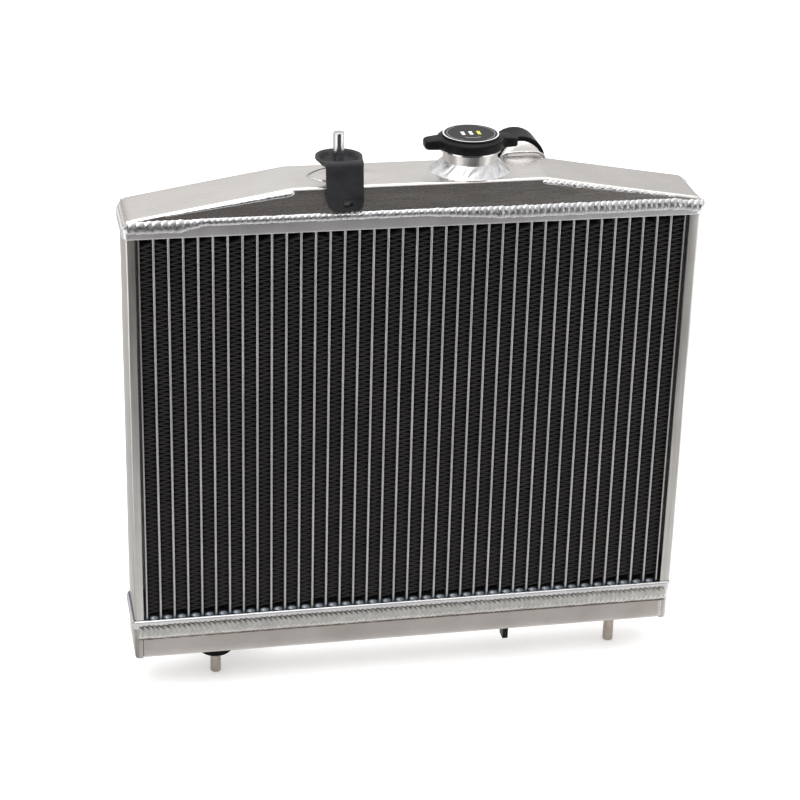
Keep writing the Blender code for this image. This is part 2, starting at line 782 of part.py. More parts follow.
def top_mount():
    mount_pad()
    mount_bracket()
    axis = (STUD_X, STUD_Y)
    bush_low = TANK_TOP + 3.6 * MM
    bush_high = BRACKET_FLOOR - BRACKET_SHEET - GAP
    ring("mount_bush", STUD_RADIUS + GAP, 8.4 * MM, bush_low, bush_high, axis, black_rubber, facets=24)
    disc("mount_stud", STUD_RADIUS, bush_low, STUD_TOP, axis, steel, facets=24)
    collar_low = BRACKET_FLOOR + GAP
    ring("stud_collar", STUD_RADIUS + GAP, 6.2 * MM, collar_low, collar_low + 2.6 * MM, axis, black_paint, facets=24)


def lower_pins():
    for name, x in (("lower_pin_left", LEFT_PIN_X), ("lower_pin_right", RIGHT_PIN_X)):
        chamfer = 0.6 * MM
        turned(
            name,
            [
                (0, -PIN_LENGTH), (PIN_RADIUS - chamfer, -PIN_LENGTH), (PIN_RADIUS, -PIN_LENGTH + chamfer),
                (PIN_RADIUS, -3 * MM), (7 * MM, -2 * MM), (7 * MM, -GAP), (0, -GAP),
            ],
            (x, 0, 0),
            aluminium,
            facets=24,
        )
    inner = PIN_RADIUS + GAP
    turned(
        "grommet_left",
        [
            (inner, -11.2 * MM), (GROMMET_RADIUS - 2 * MM, -11.2 * MM), (GROMMET_RADIUS, -9.8 * MM),
            (GROMMET_RADIUS, -4 * MM), (GROMMET_RADIUS - 1.5 * MM, -3.3 * MM), (inner, -3.3 * MM),
        ],
        (LEFT_PIN_X, 0, 0),
        black_rubber,
        facets=24,
    )


def drain():
    """The drain boss under the tank and the cock that screws into it."""
    axis = (DRAIN_X, 0)
    boss_low = -3.5 * MM
    ring("drain_boss", 4.2 * MM, 8 * MM, boss_low, -GAP, axis, aluminium, facets=24)
    seal_low = boss_low - 1.5 * MM
    ring("drain_seal", 4.2 * MM, 6.2 * MM, seal_low, boss_low - GAP, axis, black_rubber, facets=24)
    flange_high = seal_low - GAP
    flange_low = flange_high - 2 * MM
    cock = turned(
        "drain_cock",
        [
            (0, flange_low), (6.5 * MM, flange_low), (6.5 * MM, flange_high),
            (3.9 * MM, flange_high), (3.9 * MM, -GAP), (0, -GAP),
        ],
        (DRAIN_X, 0, 0),
        black_plastic,
        facets=SMALL_ROUND,
    )
    half_blade = 2.05 * MM
    blade = rounded([
        (-5.5 * MM, flange_low + 0.5 * MM, 0), (-5 * MM, -DRAIN_END, 1 * MM),
        (5 * MM, -DRAIN_END, 1 * MM), (5.5 * MM, flange_low + 0.5 * MM, 0),
    ])
    return fuse(cock, prism("drain_blade", blade, "X", DRAIN_X - half_blade, DRAIN_X + half_blade))


def build():
    clear_scene()
    tube_bank()
    fin_pack()
    core_plates()
    header("upper_header", CORE_TOP, CORE_TOP + UPPER_FLANGE)
    header("lower_header", CORE_BOTTOM, CORE_BOTTOM - LOWER_FLANGE)
    side_channel("side_channel_left", -1)
    side_channel("side_channel_right", 1)
    top_tank()
    bottom_tank()
    bottom_tank_end("bottom_tank_end_left", -1)
    bottom_tank_end("bottom_tank_end_right", 1)
    upper_joint = CORE_TOP + UPPER_FLANGE + GAP
    lower_joint = CORE_BOTTOM - LOWER_FLANGE - GAP
    bead_ring(
        "upper_header_weld", TOP_TANK_HALF_WIDTH, HALF_DEPTH, upper_joint, upper_joint + UPPER_BEAD_HEIGHT
    )
    lower_bead = bead_ring(
        "lower_header_weld", BOTTOM_TANK_HALF_WIDTH, HALF_DEPTH, lower_joint - LOWER_BEAD_HEIGHT, lower_joint
    )
    space = FOOT_HALF_WIDTH + PIPE_WELD + 2 * GAP
    cut(lower_bead, block(
        "lower_pipe_space",
        (LOWER_PIPE[0] - space, HALF_DEPTH - 2 * MM, 0),
        (LOWER_PIPE[0] + space, HALF_DEPTH + 6 * MM, CORE_BOTTOM),
    ))
    filler_neck()
    neck_weld()
    overflow_place = (CAP_X, OVERFLOW_Z)
    pipe(
        "overflow_pipe", OVERFLOW_RADIUS, OVERFLOW_BORE, NECK_RADIUS + GAP, OVERFLOW_END_Y,
        overflow_place, aluminium, SMALL_ROUND,
    )
    pressure_cap()
    hose_pipes()
    top_mount()
    lower_pins()
    drain()


build()
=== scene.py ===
"""Looks of the car radiator: fine surfaces, welds, fins, materials, light and camera."""
import math
import random

import bmesh
import bpy
from mathutils import Matrix, Vector, geometry, noise


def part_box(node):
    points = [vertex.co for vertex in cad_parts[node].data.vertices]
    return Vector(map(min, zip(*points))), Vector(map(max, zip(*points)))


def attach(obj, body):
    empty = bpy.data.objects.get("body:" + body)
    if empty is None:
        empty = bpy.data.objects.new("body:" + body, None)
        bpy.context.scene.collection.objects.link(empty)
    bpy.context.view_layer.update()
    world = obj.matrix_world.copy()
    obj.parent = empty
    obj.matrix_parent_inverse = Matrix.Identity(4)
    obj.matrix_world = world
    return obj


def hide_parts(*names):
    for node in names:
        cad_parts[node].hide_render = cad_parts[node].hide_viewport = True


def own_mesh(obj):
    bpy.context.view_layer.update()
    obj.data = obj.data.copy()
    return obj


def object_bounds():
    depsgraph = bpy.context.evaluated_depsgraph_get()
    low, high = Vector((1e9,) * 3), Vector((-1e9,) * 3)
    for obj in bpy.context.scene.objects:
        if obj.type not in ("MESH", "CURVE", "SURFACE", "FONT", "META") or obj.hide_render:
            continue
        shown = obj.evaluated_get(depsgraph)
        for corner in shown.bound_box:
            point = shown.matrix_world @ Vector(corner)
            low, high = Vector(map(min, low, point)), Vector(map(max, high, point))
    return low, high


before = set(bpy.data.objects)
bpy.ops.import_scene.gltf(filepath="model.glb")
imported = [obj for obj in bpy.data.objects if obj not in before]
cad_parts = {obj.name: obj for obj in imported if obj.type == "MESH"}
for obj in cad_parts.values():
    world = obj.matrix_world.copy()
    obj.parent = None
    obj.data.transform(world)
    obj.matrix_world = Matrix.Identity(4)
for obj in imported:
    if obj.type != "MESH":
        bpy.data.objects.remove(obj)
CAD_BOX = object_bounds()

MM = 0.001
RADIATOR = "radiator"

# Camera
CAMERA_PLACE = Vector((-0.3125, -1.4766, 0.8816))
CAMERA_AZIMUTH = 11.77
CAMERA_ELEVATION = 24.87
CAMERA_ROLL = 1.57
CAMERA_LENS = 105
FLOOR_Z = CAD_BOX[0].z
FLOOR_GLOW = 0.3
SKY_STRENGTH = 1.17
SWEEP_NEAR = -0.06
SWEEP_FAR = -0.72

# Sizes read from the frame
HEADER_LOW, HEADER_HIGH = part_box("lower_header")
UPPER_LOW, UPPER_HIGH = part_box("upper_header")
TANK_LOW, TANK_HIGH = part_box("top_tank")
FIN_LOW, FIN_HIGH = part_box("fin_pack")
TUBES_LOW, TUBES_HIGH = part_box("tube_bank")
NECK_LOW, NECK_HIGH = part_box("filler_neck")
SHELL_LOW, SHELL_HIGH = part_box("cap_shell")
HALF_DEPTH = HEADER_HIGH.y
CAP_AXIS = (NECK_LOW + NECK_HIGH) / 2
CAP_BODY_RADIUS = SHELL_HIGH.y
NECK_ROOM = 14.5 * MM
POCKET_DEPTH = 7 * MM
LABEL_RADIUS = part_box("cap_label")[1].y

# Core
TUBE_COUNT = 37
TUBE_PITCH = 10 * MM
TUBE_WIDTH = 1.8 * MM
ROW_INNER = 1.5 * MM
ROW_OUTER = 21 * MM
FIN_PITCH = 3.5 * MM
FIN_SHEET = 0.16 * MM
PLATE_MARGIN = 1.2 * MM
LOWER_RIM_BEND = 1.6 * MM
UPPER_RIM_BEND = 1.2 * MM
HUMP_HEIGHT = 2.4 * MM

# Top tank
LEFT_CREASE_X = -86 * MM
RIGHT_CREASE_X = 88 * MM
LEFT_END_Z = 335.2 * MM
RIGHT_END_Z = 334.2 * MM
END_BEND = 8 * MM
FOLD_RADIUS = 2.1 * MM
HALF_WIDTH = 200.2 * MM
RIGHT_END_OUT = 2.2 * MM             # the right end reaches further out than the left

# Top mount, in millimetres
DISH_X = -53
BRACKET_TOP = 368
BRACKET_HOLE_X = -49.6
DISH_DEPTH = 4.0
LIP_RISE = 1.6
WEB_BEND = 346
STUD_Y = -6.7 * MM


# ---- materials

def new_material(name, colour, roughness, metallic=0.0, sheen=0.5):
    """A Principled material; returns it with its node tree and shader."""
    material = bpy.data.materials.new(name)
    material.use_nodes = True
    tree = material.node_tree
    shader = tree.nodes["Principled BSDF"]
    shader.inputs["Base Color"].default_value = (*colour, 1)
    shader.inputs["Roughness"].default_value = roughness
    shader.inputs["Metallic"].default_value = metallic
    shader.inputs["Specular IOR Level"].default_value = sheen
    return material, tree, shader


def grain(tree, scale, stretch=(1, 1, 1), detail=4.0):
    """Noise in object space, stretched along the axes; returns its factor socket."""
    place = tree.nodes.new("ShaderNodeTexCoord")
    mapping = tree.nodes.new("ShaderNodeMapping")
    mapping.inputs["Scale"].default_value = stretch
    tree.links.new(place.outputs["Object"], mapping.inputs["Vector"])
    texture = tree.nodes.new("ShaderNodeTexNoise")
    texture.inputs["Scale"].default_value = scale
    texture.inputs["Detail"].default_value = detail
    texture.inputs["Roughness"].default_value = 0.55
    tree.links.new(mapping.outputs["Vector"], texture.inputs["Vector"])
    return texture.outputs["Fac"]


def remap(tree, source, low, high, from_low=0.3, from_high=0.7):
    """from_low to from_high, spread over low to high."""
    node = tree.nodes.new("ShaderNodeMapRange")
    node.inputs["From Min"].default_value = from_low
    node.inputs["From Max"].default_value = from_high
    node.inputs["To Min"].default_value = low
    node.inputs["To Max"].default_value = high
    tree.links.new(source, node.inputs["Value"])
    return node.outputs["Result"]


def vary_roughness(tree, shader, source, low, high):
    tree.links.new(remap(tree, source, low, high), shader.inputs["Roughness"])


def colour_between(tree, shader, source, dark, light, from_low=0.3, from_high=0.7):
    ramp = tree.nodes.new("ShaderNodeValToRGB")
    ramp.color_ramp.elements[0].position = from_low
    ramp.color_ramp.elements[1].position = from_high
    ramp.color_ramp.elements[0].color = (*dark, 1)
    ramp.color_ramp.elements[1].color = (*light, 1)
    tree.links.new(source, ramp.inputs["Fac"])
    tree.links.new(ramp.outputs["Color"], shader.inputs["Base Color"])


def bump(tree, shader, sources, distance=0.1 * MM):
    """Stack (source, strength) bumps on the shader's normal."""
    previous = None
    for source, strength in sources:
        node = tree.nodes.new("ShaderNodeBump")
        node.inputs["Strength"].default_value = strength
        node.inputs["Distance"].default_value = distance
        tree.links.new(source, node.inputs["Height"])
        if previous:
            tree.links.new(previous.outputs["Normal"], node.inputs["Normal"])
        previous = node
    tree.links.new(previous.outputs["Normal"], shader.inputs["Normal"])


def sheet_metal(name, dark, light, roughness, brush, wave=0.5, streak=0.0):
    """Mill-finish aluminium sheet with brush lines along one axis and slow ripples."""
    material, tree, shader = new_material(name, light, roughness, 1.0)
    lines = grain(tree, 1.0, brush, detail=3.0)
    cloud = grain(tree, 28.0, detail=3.0)
    mix = tree.nodes.new("ShaderNodeMix")
    mix.inputs["Factor"].default_value = streak
    tree.links.new(cloud, mix.inputs["A"])
    tree.links.new(lines, mix.inputs["B"])
    colour_between(tree, shader, mix.outputs["Result"], dark, light, 0.35, 0.65)
    vary_roughness(tree, shader, lines, roughness - 0.02, roughness + 0.02)
    bump(tree, shader, [(lines, 0.004), (grain(tree, 35.0, detail=1.0), wave)], 0.25 * MM)
    return material


def weld_metal(name, dark, light, roughness=0.3, frost=1.0):
    """Bright weld metal with a finely frosted skin."""
    material, tree, shader = new_material(name, light, roughness, 1.0)
    colour_between(tree, shader, grain(tree, 260.0), dark, light)
    vary_roughness(tree, shader, grain(tree, 420.0), roughness - 0.1, roughness + 0.12)
    bump(tree, shader, [(grain(tree, 900.0), 0.2 * frost), (grain(tree, 250.0), 0.3 * frost)], 0.15 * MM)
    return material


def black_finish(name, colour, roughness, pores, strength, sheen):
    """Black plastic, rubber or paint with a moulded or sprayed grain."""
    material, tree, shader = new_material(name, colour, roughness, 0.0, sheen)
    light = tuple(min(1.0, part * 1.7 + 0.004) for part in colour)
    colour_between(tree, shader, grain(tree, 90.0), colour, light)
    vary_roughness(tree, shader, grain(tree, 160.0), roughness - 0.06, roughness + 0.08)
    bump(tree, shader, [(grain(tree, pores, detail=2.0), strength)], 0.08 * MM)
    return material


def turned_metal(name, colour, roughness):
    """Plated or machined metal with fine rings along its length."""
    material, tree, shader = new_material(name, colour, roughness, 1.0)
    lines = grain(tree, 1.0, (40, 40, 2600), detail=2.0)
    vary_roughness(tree, shader, lines, roughness - 0.05, roughness + 0.08)
    dark = tuple(part * 0.8 for part in colour)
    colour_between(tree, shader, grain(tree, 120.0), dark, colour)
    bump(tree, shader, [(lines, 0.08)])
    return material


def fin_coat():
    """Black heat-rejecting coat of the fins, a little dusty."""
    material, tree, shader = new_material("fin_coat", (0.01, 0.01, 0.011), 0.55, 0.0)
    colour_between(tree, shader, grain(tree, 60.0), (0.008, 0.006, 0.006), (0.02, 0.016, 0.016))
    vary_roughness(tree, shader, grain(tree, 500.0), 0.5, 0.65)
    bump(tree, shader, [(grain(tree, 1500.0), 0.3)], 0.05 * MM)
    return material


def printed(name, colour, roughness=0.4, sheen=0.5):
    material, tree, shader = new_material(name, colour, roughness, 0.0, sheen)
    dark = tuple(part * 0.86 for part in colour)
    colour_between(tree, shader, grain(tree, 300.0), dark, colour)
    bump(tree, shader, [(grain(tree, 800.0), 0.1)], 0.03 * MM)
    return material


SHEET_LOOKS = {
    "tank_sheet": ((0.68, 0.655, 0.635), (0.72, 0.7, 0.68), 0.27, (35, 500, 500), 0.4),
    "low_sheet": ((0.385, 0.362, 0.343), (0.455, 0.433, 0.415), 0.32, (20, 200, 200), 0.5, 0.1),
    "header_sheet": ((0.68, 0.675, 0.69), (0.82, 0.815, 0.83), 0.4, (90, 90, 30), 0.4),
    # Painted shade: a dark copy of the header's sheet for the plate under the fins.
    "shaded_plate_sheet": ((0.12, 0.135, 0.155), (0.17, 0.185, 0.21), 0.36, (300, 300, 300)),
    "channel_sheet": ((0.5, 0.49, 0.475), (0.68, 0.67, 0.65), 0.32, (500, 500, 12), 0.5, 0.6),
    "neck_metal": ((0.66, 0.65, 0.64), (0.79, 0.78, 0.77), 0.32, (160, 160, 60), 1.0),
    "tube_metal": ((0.49, 0.49, 0.49), (0.59, 0.59, 0.585), 0.4, (900, 900, 40), 0.1),
}
LOOKS = {name: sheet_metal(name, *values) for name, values in SHEET_LOOKS.items()}
LOOKS.update({
    "weld": weld_metal("weld", (0.6, 0.6, 0.62), (0.84, 0.84, 0.85), 0.31, 0.5),
    "dull_weld": weld_metal("dull_weld", (0.42, 0.415, 0.4), (0.56, 0.555, 0.535), 0.26, 0.15),
    # Painted shade: a thin dark brown line for the shade under a bead's edge and in the left seam.
    "painted_shade_line": printed("painted_shade_line", (0.1, 0.075, 0.06), 0.6),
    "fin": fin_coat(),
    "plastic": black_finish("black_plastic", (0.003, 0.003, 0.003), 0.4, 1800.0, 0.25, 0.105),
    "rubber": black_finish("black_rubber", (0.0015, 0.0015, 0.0015), 0.45, 900.0, 0.5, 0.05),
    "paint": black_finish("black_paint", (0.012, 0.012, 0.0135), 0.42, 1100.0, 0.3, 0.2),
    "steel": turned_metal("bright_steel", (0.72, 0.72, 0.74), 0.16),
    "brass": turned_metal("brass", (0.72, 0.52, 0.22), 0.3),
    "pin_metal": turned_metal("pin_metal", (0.38, 0.34, 0.3), 0.3),
    "label": printed("label_black", (0.007, 0.007, 0.0075), 0.3, 0.15),
    "white_print": printed("white_print", (0.8, 0.8, 0.8)),
    "grey_print": printed("grey_print", (0.25, 0.25, 0.25)),
    "yellow_print": printed("yellow_print", (0.6, 0.62, 0.04)),
})


# ---- mesh helpers

def add_piece(name, shape, look, body=RADIATOR, slot="aluminium", replaces=(), smooth_degrees=40):
    """Turn a bmesh into a piece of the object that rides on a body."""
    bmesh.ops.recalc_face_normals(shape, faces=shape.faces)
    mesh = bpy.data.meshes.new(name)
    shape.to_mesh(mesh)
    shape.free()
    mesh.shade_smooth()
    mesh.set_sharp_from_angle(angle=math.radians(smooth_degrees))
    mesh.materials.append(LOOKS[look])
    item = bpy.data.objects.new(name, mesh)
    bpy.context.collection.objects.link(item)
    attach(item, body)
    if replaces:
        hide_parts(*replaces)
    return item


def bridge(shape, rows, closed_path=False):
    """Join rows of points, each row a closed loop, into a skin; an open path gets end caps."""
    loops = [[shape.verts.new(point) for point in row] for row in rows]
    count = len(loops[0])
    pairs = list(zip(loops, loops[1:]))
    if closed_path:
        pairs.append((loops[-1], loops[0]))
    for first, second in pairs:
        for index in range(count):
            after = (index + 1) % count
            shape.faces.new((first[index], first[after], second[after], second[index]))
    if not closed_path:
        shape.faces.new(loops[0])
        shape.faces.new(list(reversed(loops[-1])))


def refine(
    node, name, look, body=RADIATOR, slot="aluminium", width=0.4 * MM, segments=3, smooth_degrees=40
):
    """A CAD node's own shape with clean flat faces and rounded edges."""
    shape = bmesh.new()
    shape.from_mesh(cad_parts[node].data)
    bmesh.ops.remove_doubles(shape, verts=shape.verts, dist=0.001 * MM)
    bmesh.ops.dissolve_limit(
        shape, angle_limit=math.radians(1.5), verts=shape.verts, edges=shape.edges
    )
    bmesh.ops.connect_verts_concave(shape, faces=shape.faces)
    item = add_piece(name, shape, look, body, slot, (node,), smooth_degrees)
    change = item.modifiers.new("rounded edges", "BEVEL")
    change.width = width
    change.segments = segments
    change.limit_method = "ANGLE"
    change.angle_limit = math.radians(smooth_degrees)
    change.harden_normals = True


def turned(name, profile, centre, look, steps=64, **options):
    """A closed (radius, height) profile turned about an upright axis."""
    shape = bmesh.new()
    rows = []
    for angle in full_turn(steps):
        row = []
        for radius, height in profile:
            point = Vector((radius * math.cos(angle), radius * math.sin(angle), height))
            row.append(point + Vector(centre))
        rows.append(row)
    bridge(shape, rows, closed_path=True)
    bmesh.ops.remove_doubles(shape, verts=shape.verts, dist=0.0005 * MM)
    add_piece(name, shape, look, **options)


def full_turn(steps):
    """Evenly spaced angles round a circle, in radians."""
    return [2 * math.pi * step / steps for step in range(steps)]


def arc(centre, radius, start, end, steps):
    """Points on a circle in a plane, angles in degrees."""
    points = []
    for step in range(steps + 1):
        angle = math.radians(start + (end - start) * step / steps)
        points.append((centre[0] + radius * math.cos(angle), centre[1] + radius * math.sin(angle)))
    return points


# ---- welds

def ripple(phase):
    """Height of overlapping weld puddles: a rounded back, then a short steep fall."""
    share = phase % 1.0
    return math.sin(share / 0.82 * math.pi / 2) if share < 0.82 else (1.0 - share) / 0.18


def same_size(point):
    return 1.0, 1.0, 1.0


def weld_run(
    name, path, half_width, height, pitch, depth=0.22, bow=(0.5, 1.2), slant=0.0, seed=0, closed=False,
    uneven=0.16, soft_top=1.0, soft_bottom=1.0, size_at=same_size, look="weld", upright=True, **options
):
    """A run of overlapping puddles along (point, outward) pairs.

    bow bends each puddle's edge in its upper and lower half, slant leans it, soft_top and
    soft_bottom fade its halves into the sheet. size_at(point) scales pitch, width and height.
    upright keeps the upper half up; a ring on edge goes without, or it would twist.
    """
    around = full_turn(22)
    shape = bmesh.new()
    rows = []
    travelled = 0.0
    phase = 0.0
    count = len(path)
    for index, (point, outward) in enumerate(path):
        before = path[index - 1][0] if index or closed else point
        after = path[(index + 1) % count][0] if index < count - 1 or closed else point
        pitch_scale, width_scale, height_scale = size_at(point)
        if index:
            step_length = (point - path[index - 1][0]).length
            travelled += step_length
            phase += step_length / (pitch * pitch_scale)
        tangent = (after - before).normalized()
        side = tangent.cross(outward).normalized()
        heading = -1 if upright and side.z < 0 else 1
        side = side * heading
        wander = noise.noise(Vector((travelled * 90, seed, 0)))
        swell = 1.0 + uneven * noise.noise(Vector((travelled * 160, seed + 5, 0)))
        row = []
        for angle in around:
            across = math.cos(angle)
            rise = max(math.sin(angle), -0.4)
            if rise > 0:
                rise = rise ** (soft_top if across > 0 else soft_bottom)
            bend = bow[0] if across > 0 else bow[1]
            wave = ripple(heading * phase + bend * across * across + slant * across + 0.3 * wander)
            scale = 1.0 - depth + depth * wave
            reach = half_width * swell * width_scale
            offset = side * (across * reach * (1 - 0.3 * depth * (1 - wave)))
            offset += outward * (rise * height * swell * height_scale * scale)
            row.append(point + offset + side * (wander * reach * 0.1))
        rows.append(row)
    bridge(shape, rows, closed_path=closed)
    add_piece(name, shape, look, slot="weld", smooth_degrees=60, **options)


def even_ring(corners, spacing):
    """Points at an even spacing round the straight legs between (point, outward) corners."""
    path = []
    for (start, start_out), (end, end_out) in zip(corners, corners[1:] + corners[:1]):
        steps = max(1, round((end - start).length / spacing))
        for step in range(steps):
            share = step / steps
            path.append((start.lerp(end, share), start_out.lerp(end_out, share).normalized()))
    return path


def ring_corners(half_x, half_y, z, corner, lift=0.0):
    """(point, outward) pairs round a rounded rectangle."""
    pairs = []
    for centre_x, centre_y, start in (
        (half_x - corner, half_y - corner, 0), (corner - half_x, half_y - corner, 90),
        (corner - half_x, corner - half_y, 180), (half_x - corner, corner - half_y, 270),
    ):
        for x, y in arc((centre_x, centre_y), corner, start, start + 90, 5):
            outward = Vector((x - centre_x, y - centre_y, lift * corner)).normalized()
            pairs.append((Vector((x, y, z)), outward))
    return pairs


# ---- core

def tube_xs():
    """Middle of each tube, left to right."""
    middle = (TUBE_COUNT - 1) / 2
    return [(index - middle) * TUBE_PITCH for index in range(TUBE_COUNT)]


def make_tubes():
    """Flat tubes with round noses, two rows deep."""
    shape = bmesh.new()
    radius = TUBE_WIDTH / 2
    for x in tube_xs():
        for side in (-1, 1):
            middle = side * (ROW_INNER + ROW_OUTER) / 2
            reach = (ROW_OUTER - ROW_INNER) / 2 - radius
            outline = arc((x, middle - reach), radius, 180, 360, 6)
            outline += arc((x, middle + reach), radius, 0, 180, 6)
            ends = (TUBES_LOW.z, TUBES_HIGH.z)
            bridge(shape, [[Vector((u, v, z)) for u, v in outline] for z in ends])
    add_piece("tubes", shape, "tube_metal", slot="tube", replaces=("tube_bank",))


def make_fins():
    """Corrugated strips between the tubes, folded to a flat crest at each side."""
    shape = bmesh.new()
    flat = 0.4 * MM
    half = (TUBE_PITCH - TUBE_WIDTH) / 2 - FIN_SHEET
    y_low, y_high = FIN_LOW.y, FIN_HIGH.y
    height = FIN_HIGH.z - FIN_LOW.z
    folds = int(height / FIN_PITCH)
    random.seed(4)
    for column in range(TUBE_COUNT + 1):
        centre = tube_xs()[0] - TUBE_PITCH / 2 + column * TUBE_PITCH
        shift = random.uniform(0, FIN_PITCH * 0.9)
        outline = []
        for fold in range(folds):
            base = FIN_LOW.z + shift + fold * FIN_PITCH + random.uniform(-0.12, 0.12) * MM
            half_pitch = FIN_PITCH / 2
            outline += [(centre - half, base), (centre - half, base + flat)]
            outline += [(centre + half, base + half_pitch), (centre + half, base + half_pitch + flat)]
        front = [shape.verts.new((x, y_low, z)) for x, z in outline if z < FIN_HIGH.z]
        back = [shape.verts.new((x, y_high, z)) for x, z in outline if z < FIN_HIGH.z]
        for index in range(len(front) - 1):
            shape.faces.new((front[index], front[index + 1], back[index + 1], back[index]))
    fins = add_piece("fins", shape, "fin", slot="fin", replaces=("fin_pack",), smooth_degrees=30)
    change = fins.modifiers.new("strip thickness", "SOLIDIFY")
    change.thickness = FIN_SHEET
    change.offset = 0


def header_height(x, y, half_x, half_y, bend, hump_height):
    """Height over the header's plate: rounded rim, and a pressed hump between tubes."""
    edge = min(half_x - abs(x), half_y - abs(y))
    drop = 0.0
    if edge < bend:
        drop = bend - math.sqrt(max(0.0, bend ** 2 - (bend - edge) ** 2))
    nearest = (x / TUBE_PITCH - 0.5 - math.floor(x / TUBE_PITCH)) * TUBE_PITCH
    if abs(x) > (TUBE_COUNT + 1) / 2 * TUBE_PITCH:
        return -drop
    half_hump = (TUBE_PITCH - TUBE_WIDTH) / 2
    past_end = max(0.0, abs(y) - (ROW_OUTER - 3 * MM))
    away = math.hypot(nearest, past_end)
    if away >= half_hump:
        return -drop
    share = 1 - (away / half_hump) ** 2
    return hump_height * share ** 0.6 - drop


def make_header(name, node, low, high, facing, bend, hump_height):
    """A header pan: humped plate towards the core, flange towards the tank."""
    half_x, half_y = high.x, high.y
    plate, rim = (high.z, low.z) if facing > 0 else (low.z, high.z)
    columns, rows_deep = 760, 52
    corner = 4 * MM
    shape = bmesh.new()
    top = []
    for row in range(rows_deep + 1):
        y = -half_y * math.cos(math.pi * row / rows_deep)
        past = max(0.0, abs(y) - (half_y - corner))
        reach = half_x - corner + math.sqrt(max(0.0, corner ** 2 - past ** 2))
        points = []
        for column in range(columns + 1):
            x = reach * (2 * column / columns - 1)
            rise = header_height(x, y, reach, half_y, bend, hump_height)
            points.append(shape.verts.new((x, y, plate + facing * rise)))
        top.append(points)
    for first, second in zip(top, top[1:]):
        for index in range(columns):
            shape.faces.new((first[index], first[index + 1], second[index + 1], second[index]))
    border = top[0] + [row[-1] for row in top[1:-1]] + list(reversed(top[-1]))
    border += [row[0] for row in reversed(top[1:-1])]
    foot = [shape.verts.new((vertex.co.x, vertex.co.y, rim)) for vertex in border]
    for index in range(len(border)):
        after = (index + 1) % len(border)
        shape.faces.new((border[index], border[after], foot[after], foot[index]))
    shape.faces.new(foot)
    # The plate under the core gets the dark copy of the header's sheet: painted shade where the fins hang
    # over it.
    plate_edge = half_y - PLATE_MARGIN
    for face in shape.faces:
        centre = face.calc_center_median()
        if abs(centre.y) < plate_edge and abs(centre.x) < half_x - PLATE_MARGIN and abs(centre.z - rim) > MM:
            face.material_index = 1
    pan = add_piece(name, shape, "header_sheet", replaces=(node,), smooth_degrees=50)
    pan.data.materials.append(LOOKS["shaded_plate_sheet"])


def make_channel(tag, side):
    """A side channel, its inside given the fins' black material as painted shade."""
    low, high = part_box(f"side_channel_{tag}")
    outer = high.x if side > 0 else -low.x
    inner = low.x if side > 0 else -high.x
    half, wall, corner = high.y, 1.5 * MM, 1.8 * MM
    outline = [(inner, -half)]
    outline += arc((outer - corner, corner - half), corner, -90, 0, 5)
    outline += arc((outer - corner, half - corner), corner, 0, 90, 5)
    outline += [(inner, half), (inner, half - wall)]
    outline += [(outer - wall, half - wall), (outer - wall, wall - half), (inner, wall - half)]
    shape = bmesh.new()
    rows = []
    steps = 90
    for step in range(steps + 1):
        z = low.z + (high.z - low.z) * step / steps
        dent = 0.2 * MM * noise.noise(Vector((side, 2.0, z * 20)))
        rows.append([Vector((side * (x + dent), y, z)) for x, y in outline])
    bridge(shape, rows)
    # Inside faces get the fins' black material: painted shade of the channel's hollow.
    for face in shape.faces:
        centre = face.calc_center_median()
        if abs(centre.x) < outer - wall / 2 and abs(centre.y) < half - wall / 2:
            face.material_index = 1
    channel = add_piece(
        f"channel_{tag}", shape, "channel_sheet", replaces=(f"side_channel_{tag}",), smooth_degrees=35
    )
    channel.data.materials.append(LOOKS["fin"])


# ---- tanks

def slope_and_bend(end_z, crease_x, half):
    """(distance from mid-width, top z) from the crease out and down round the end bend."""
    low, top = TANK_LOW.z, TANK_HIGH.z
    slope = math.atan2(top - end_z, half - crease_x)
    reach = END_BEND * math.tan((math.pi / 2 - slope) / 2)
    bend = arc((half - END_BEND, end_z - reach), END_BEND, 90 - math.degrees(slope), 0, 24)
    bend = [(x, z) for x, z in bend if z > low + 0.4 * MM]
    start = bend[0]
    points = [
        (crease_x + (start[0] - crease_x) * step / 40, top + (start[1] - top) * step / 40)
        for step in range(40)
    ]
    return points + bend


def tank_stations():
    """(x, top z) along the top tank, left end to right end, with both end bends."""
    left = slope_and_bend(LEFT_END_Z, -LEFT_CREASE_X, HALF_WIDTH)
    right = slope_and_bend(RIGHT_END_Z, RIGHT_CREASE_X, HALF_WIDTH + RIGHT_END_OUT)
    stations = [(-x, z) for x, z in reversed(left)]
    flat = RIGHT_CREASE_X - LEFT_CREASE_X
    stations += [(LEFT_CREASE_X + flat * step / 60, TANK_HIGH.z) for step in range(1, 60)]
    return stations + right


def tank_top_z(x):
    """Height of the tank's top at x."""
    stations = tank_stations()
    for (x0, z0), (x1, z1) in zip(stations, stations[1:]):
        if x0 <= x <= x1 and x1 > x0:
            return z0 + (z1 - z0) * (x - x0) / (x1 - x0)
    return stations[0][1]


def tank_section(low, top):
    """(y, z) up the tank's front face, over both folds and down its back face."""
    radius = min(FOLD_RADIUS, (top - low) * 0.95)
    inner = HALF_DEPTH - radius
    face_steps, top_steps = 5, 14
    heights = [low + (top - radius - low) * step / face_steps for step in range(face_steps)]
    section = [(-HALF_DEPTH, z) for z in heights]
    section += arc((-HALF_DEPTH + radius, top - radius), radius, 180, 90, 8)
    section += [(-inner + 2 * inner * step / top_steps, top) for step in range(1, top_steps)]
    section += arc((HALF_DEPTH - radius, top - radius), radius, 90, 0, 8)
    return section + [(HALF_DEPTH, z) for z in reversed(heights)]


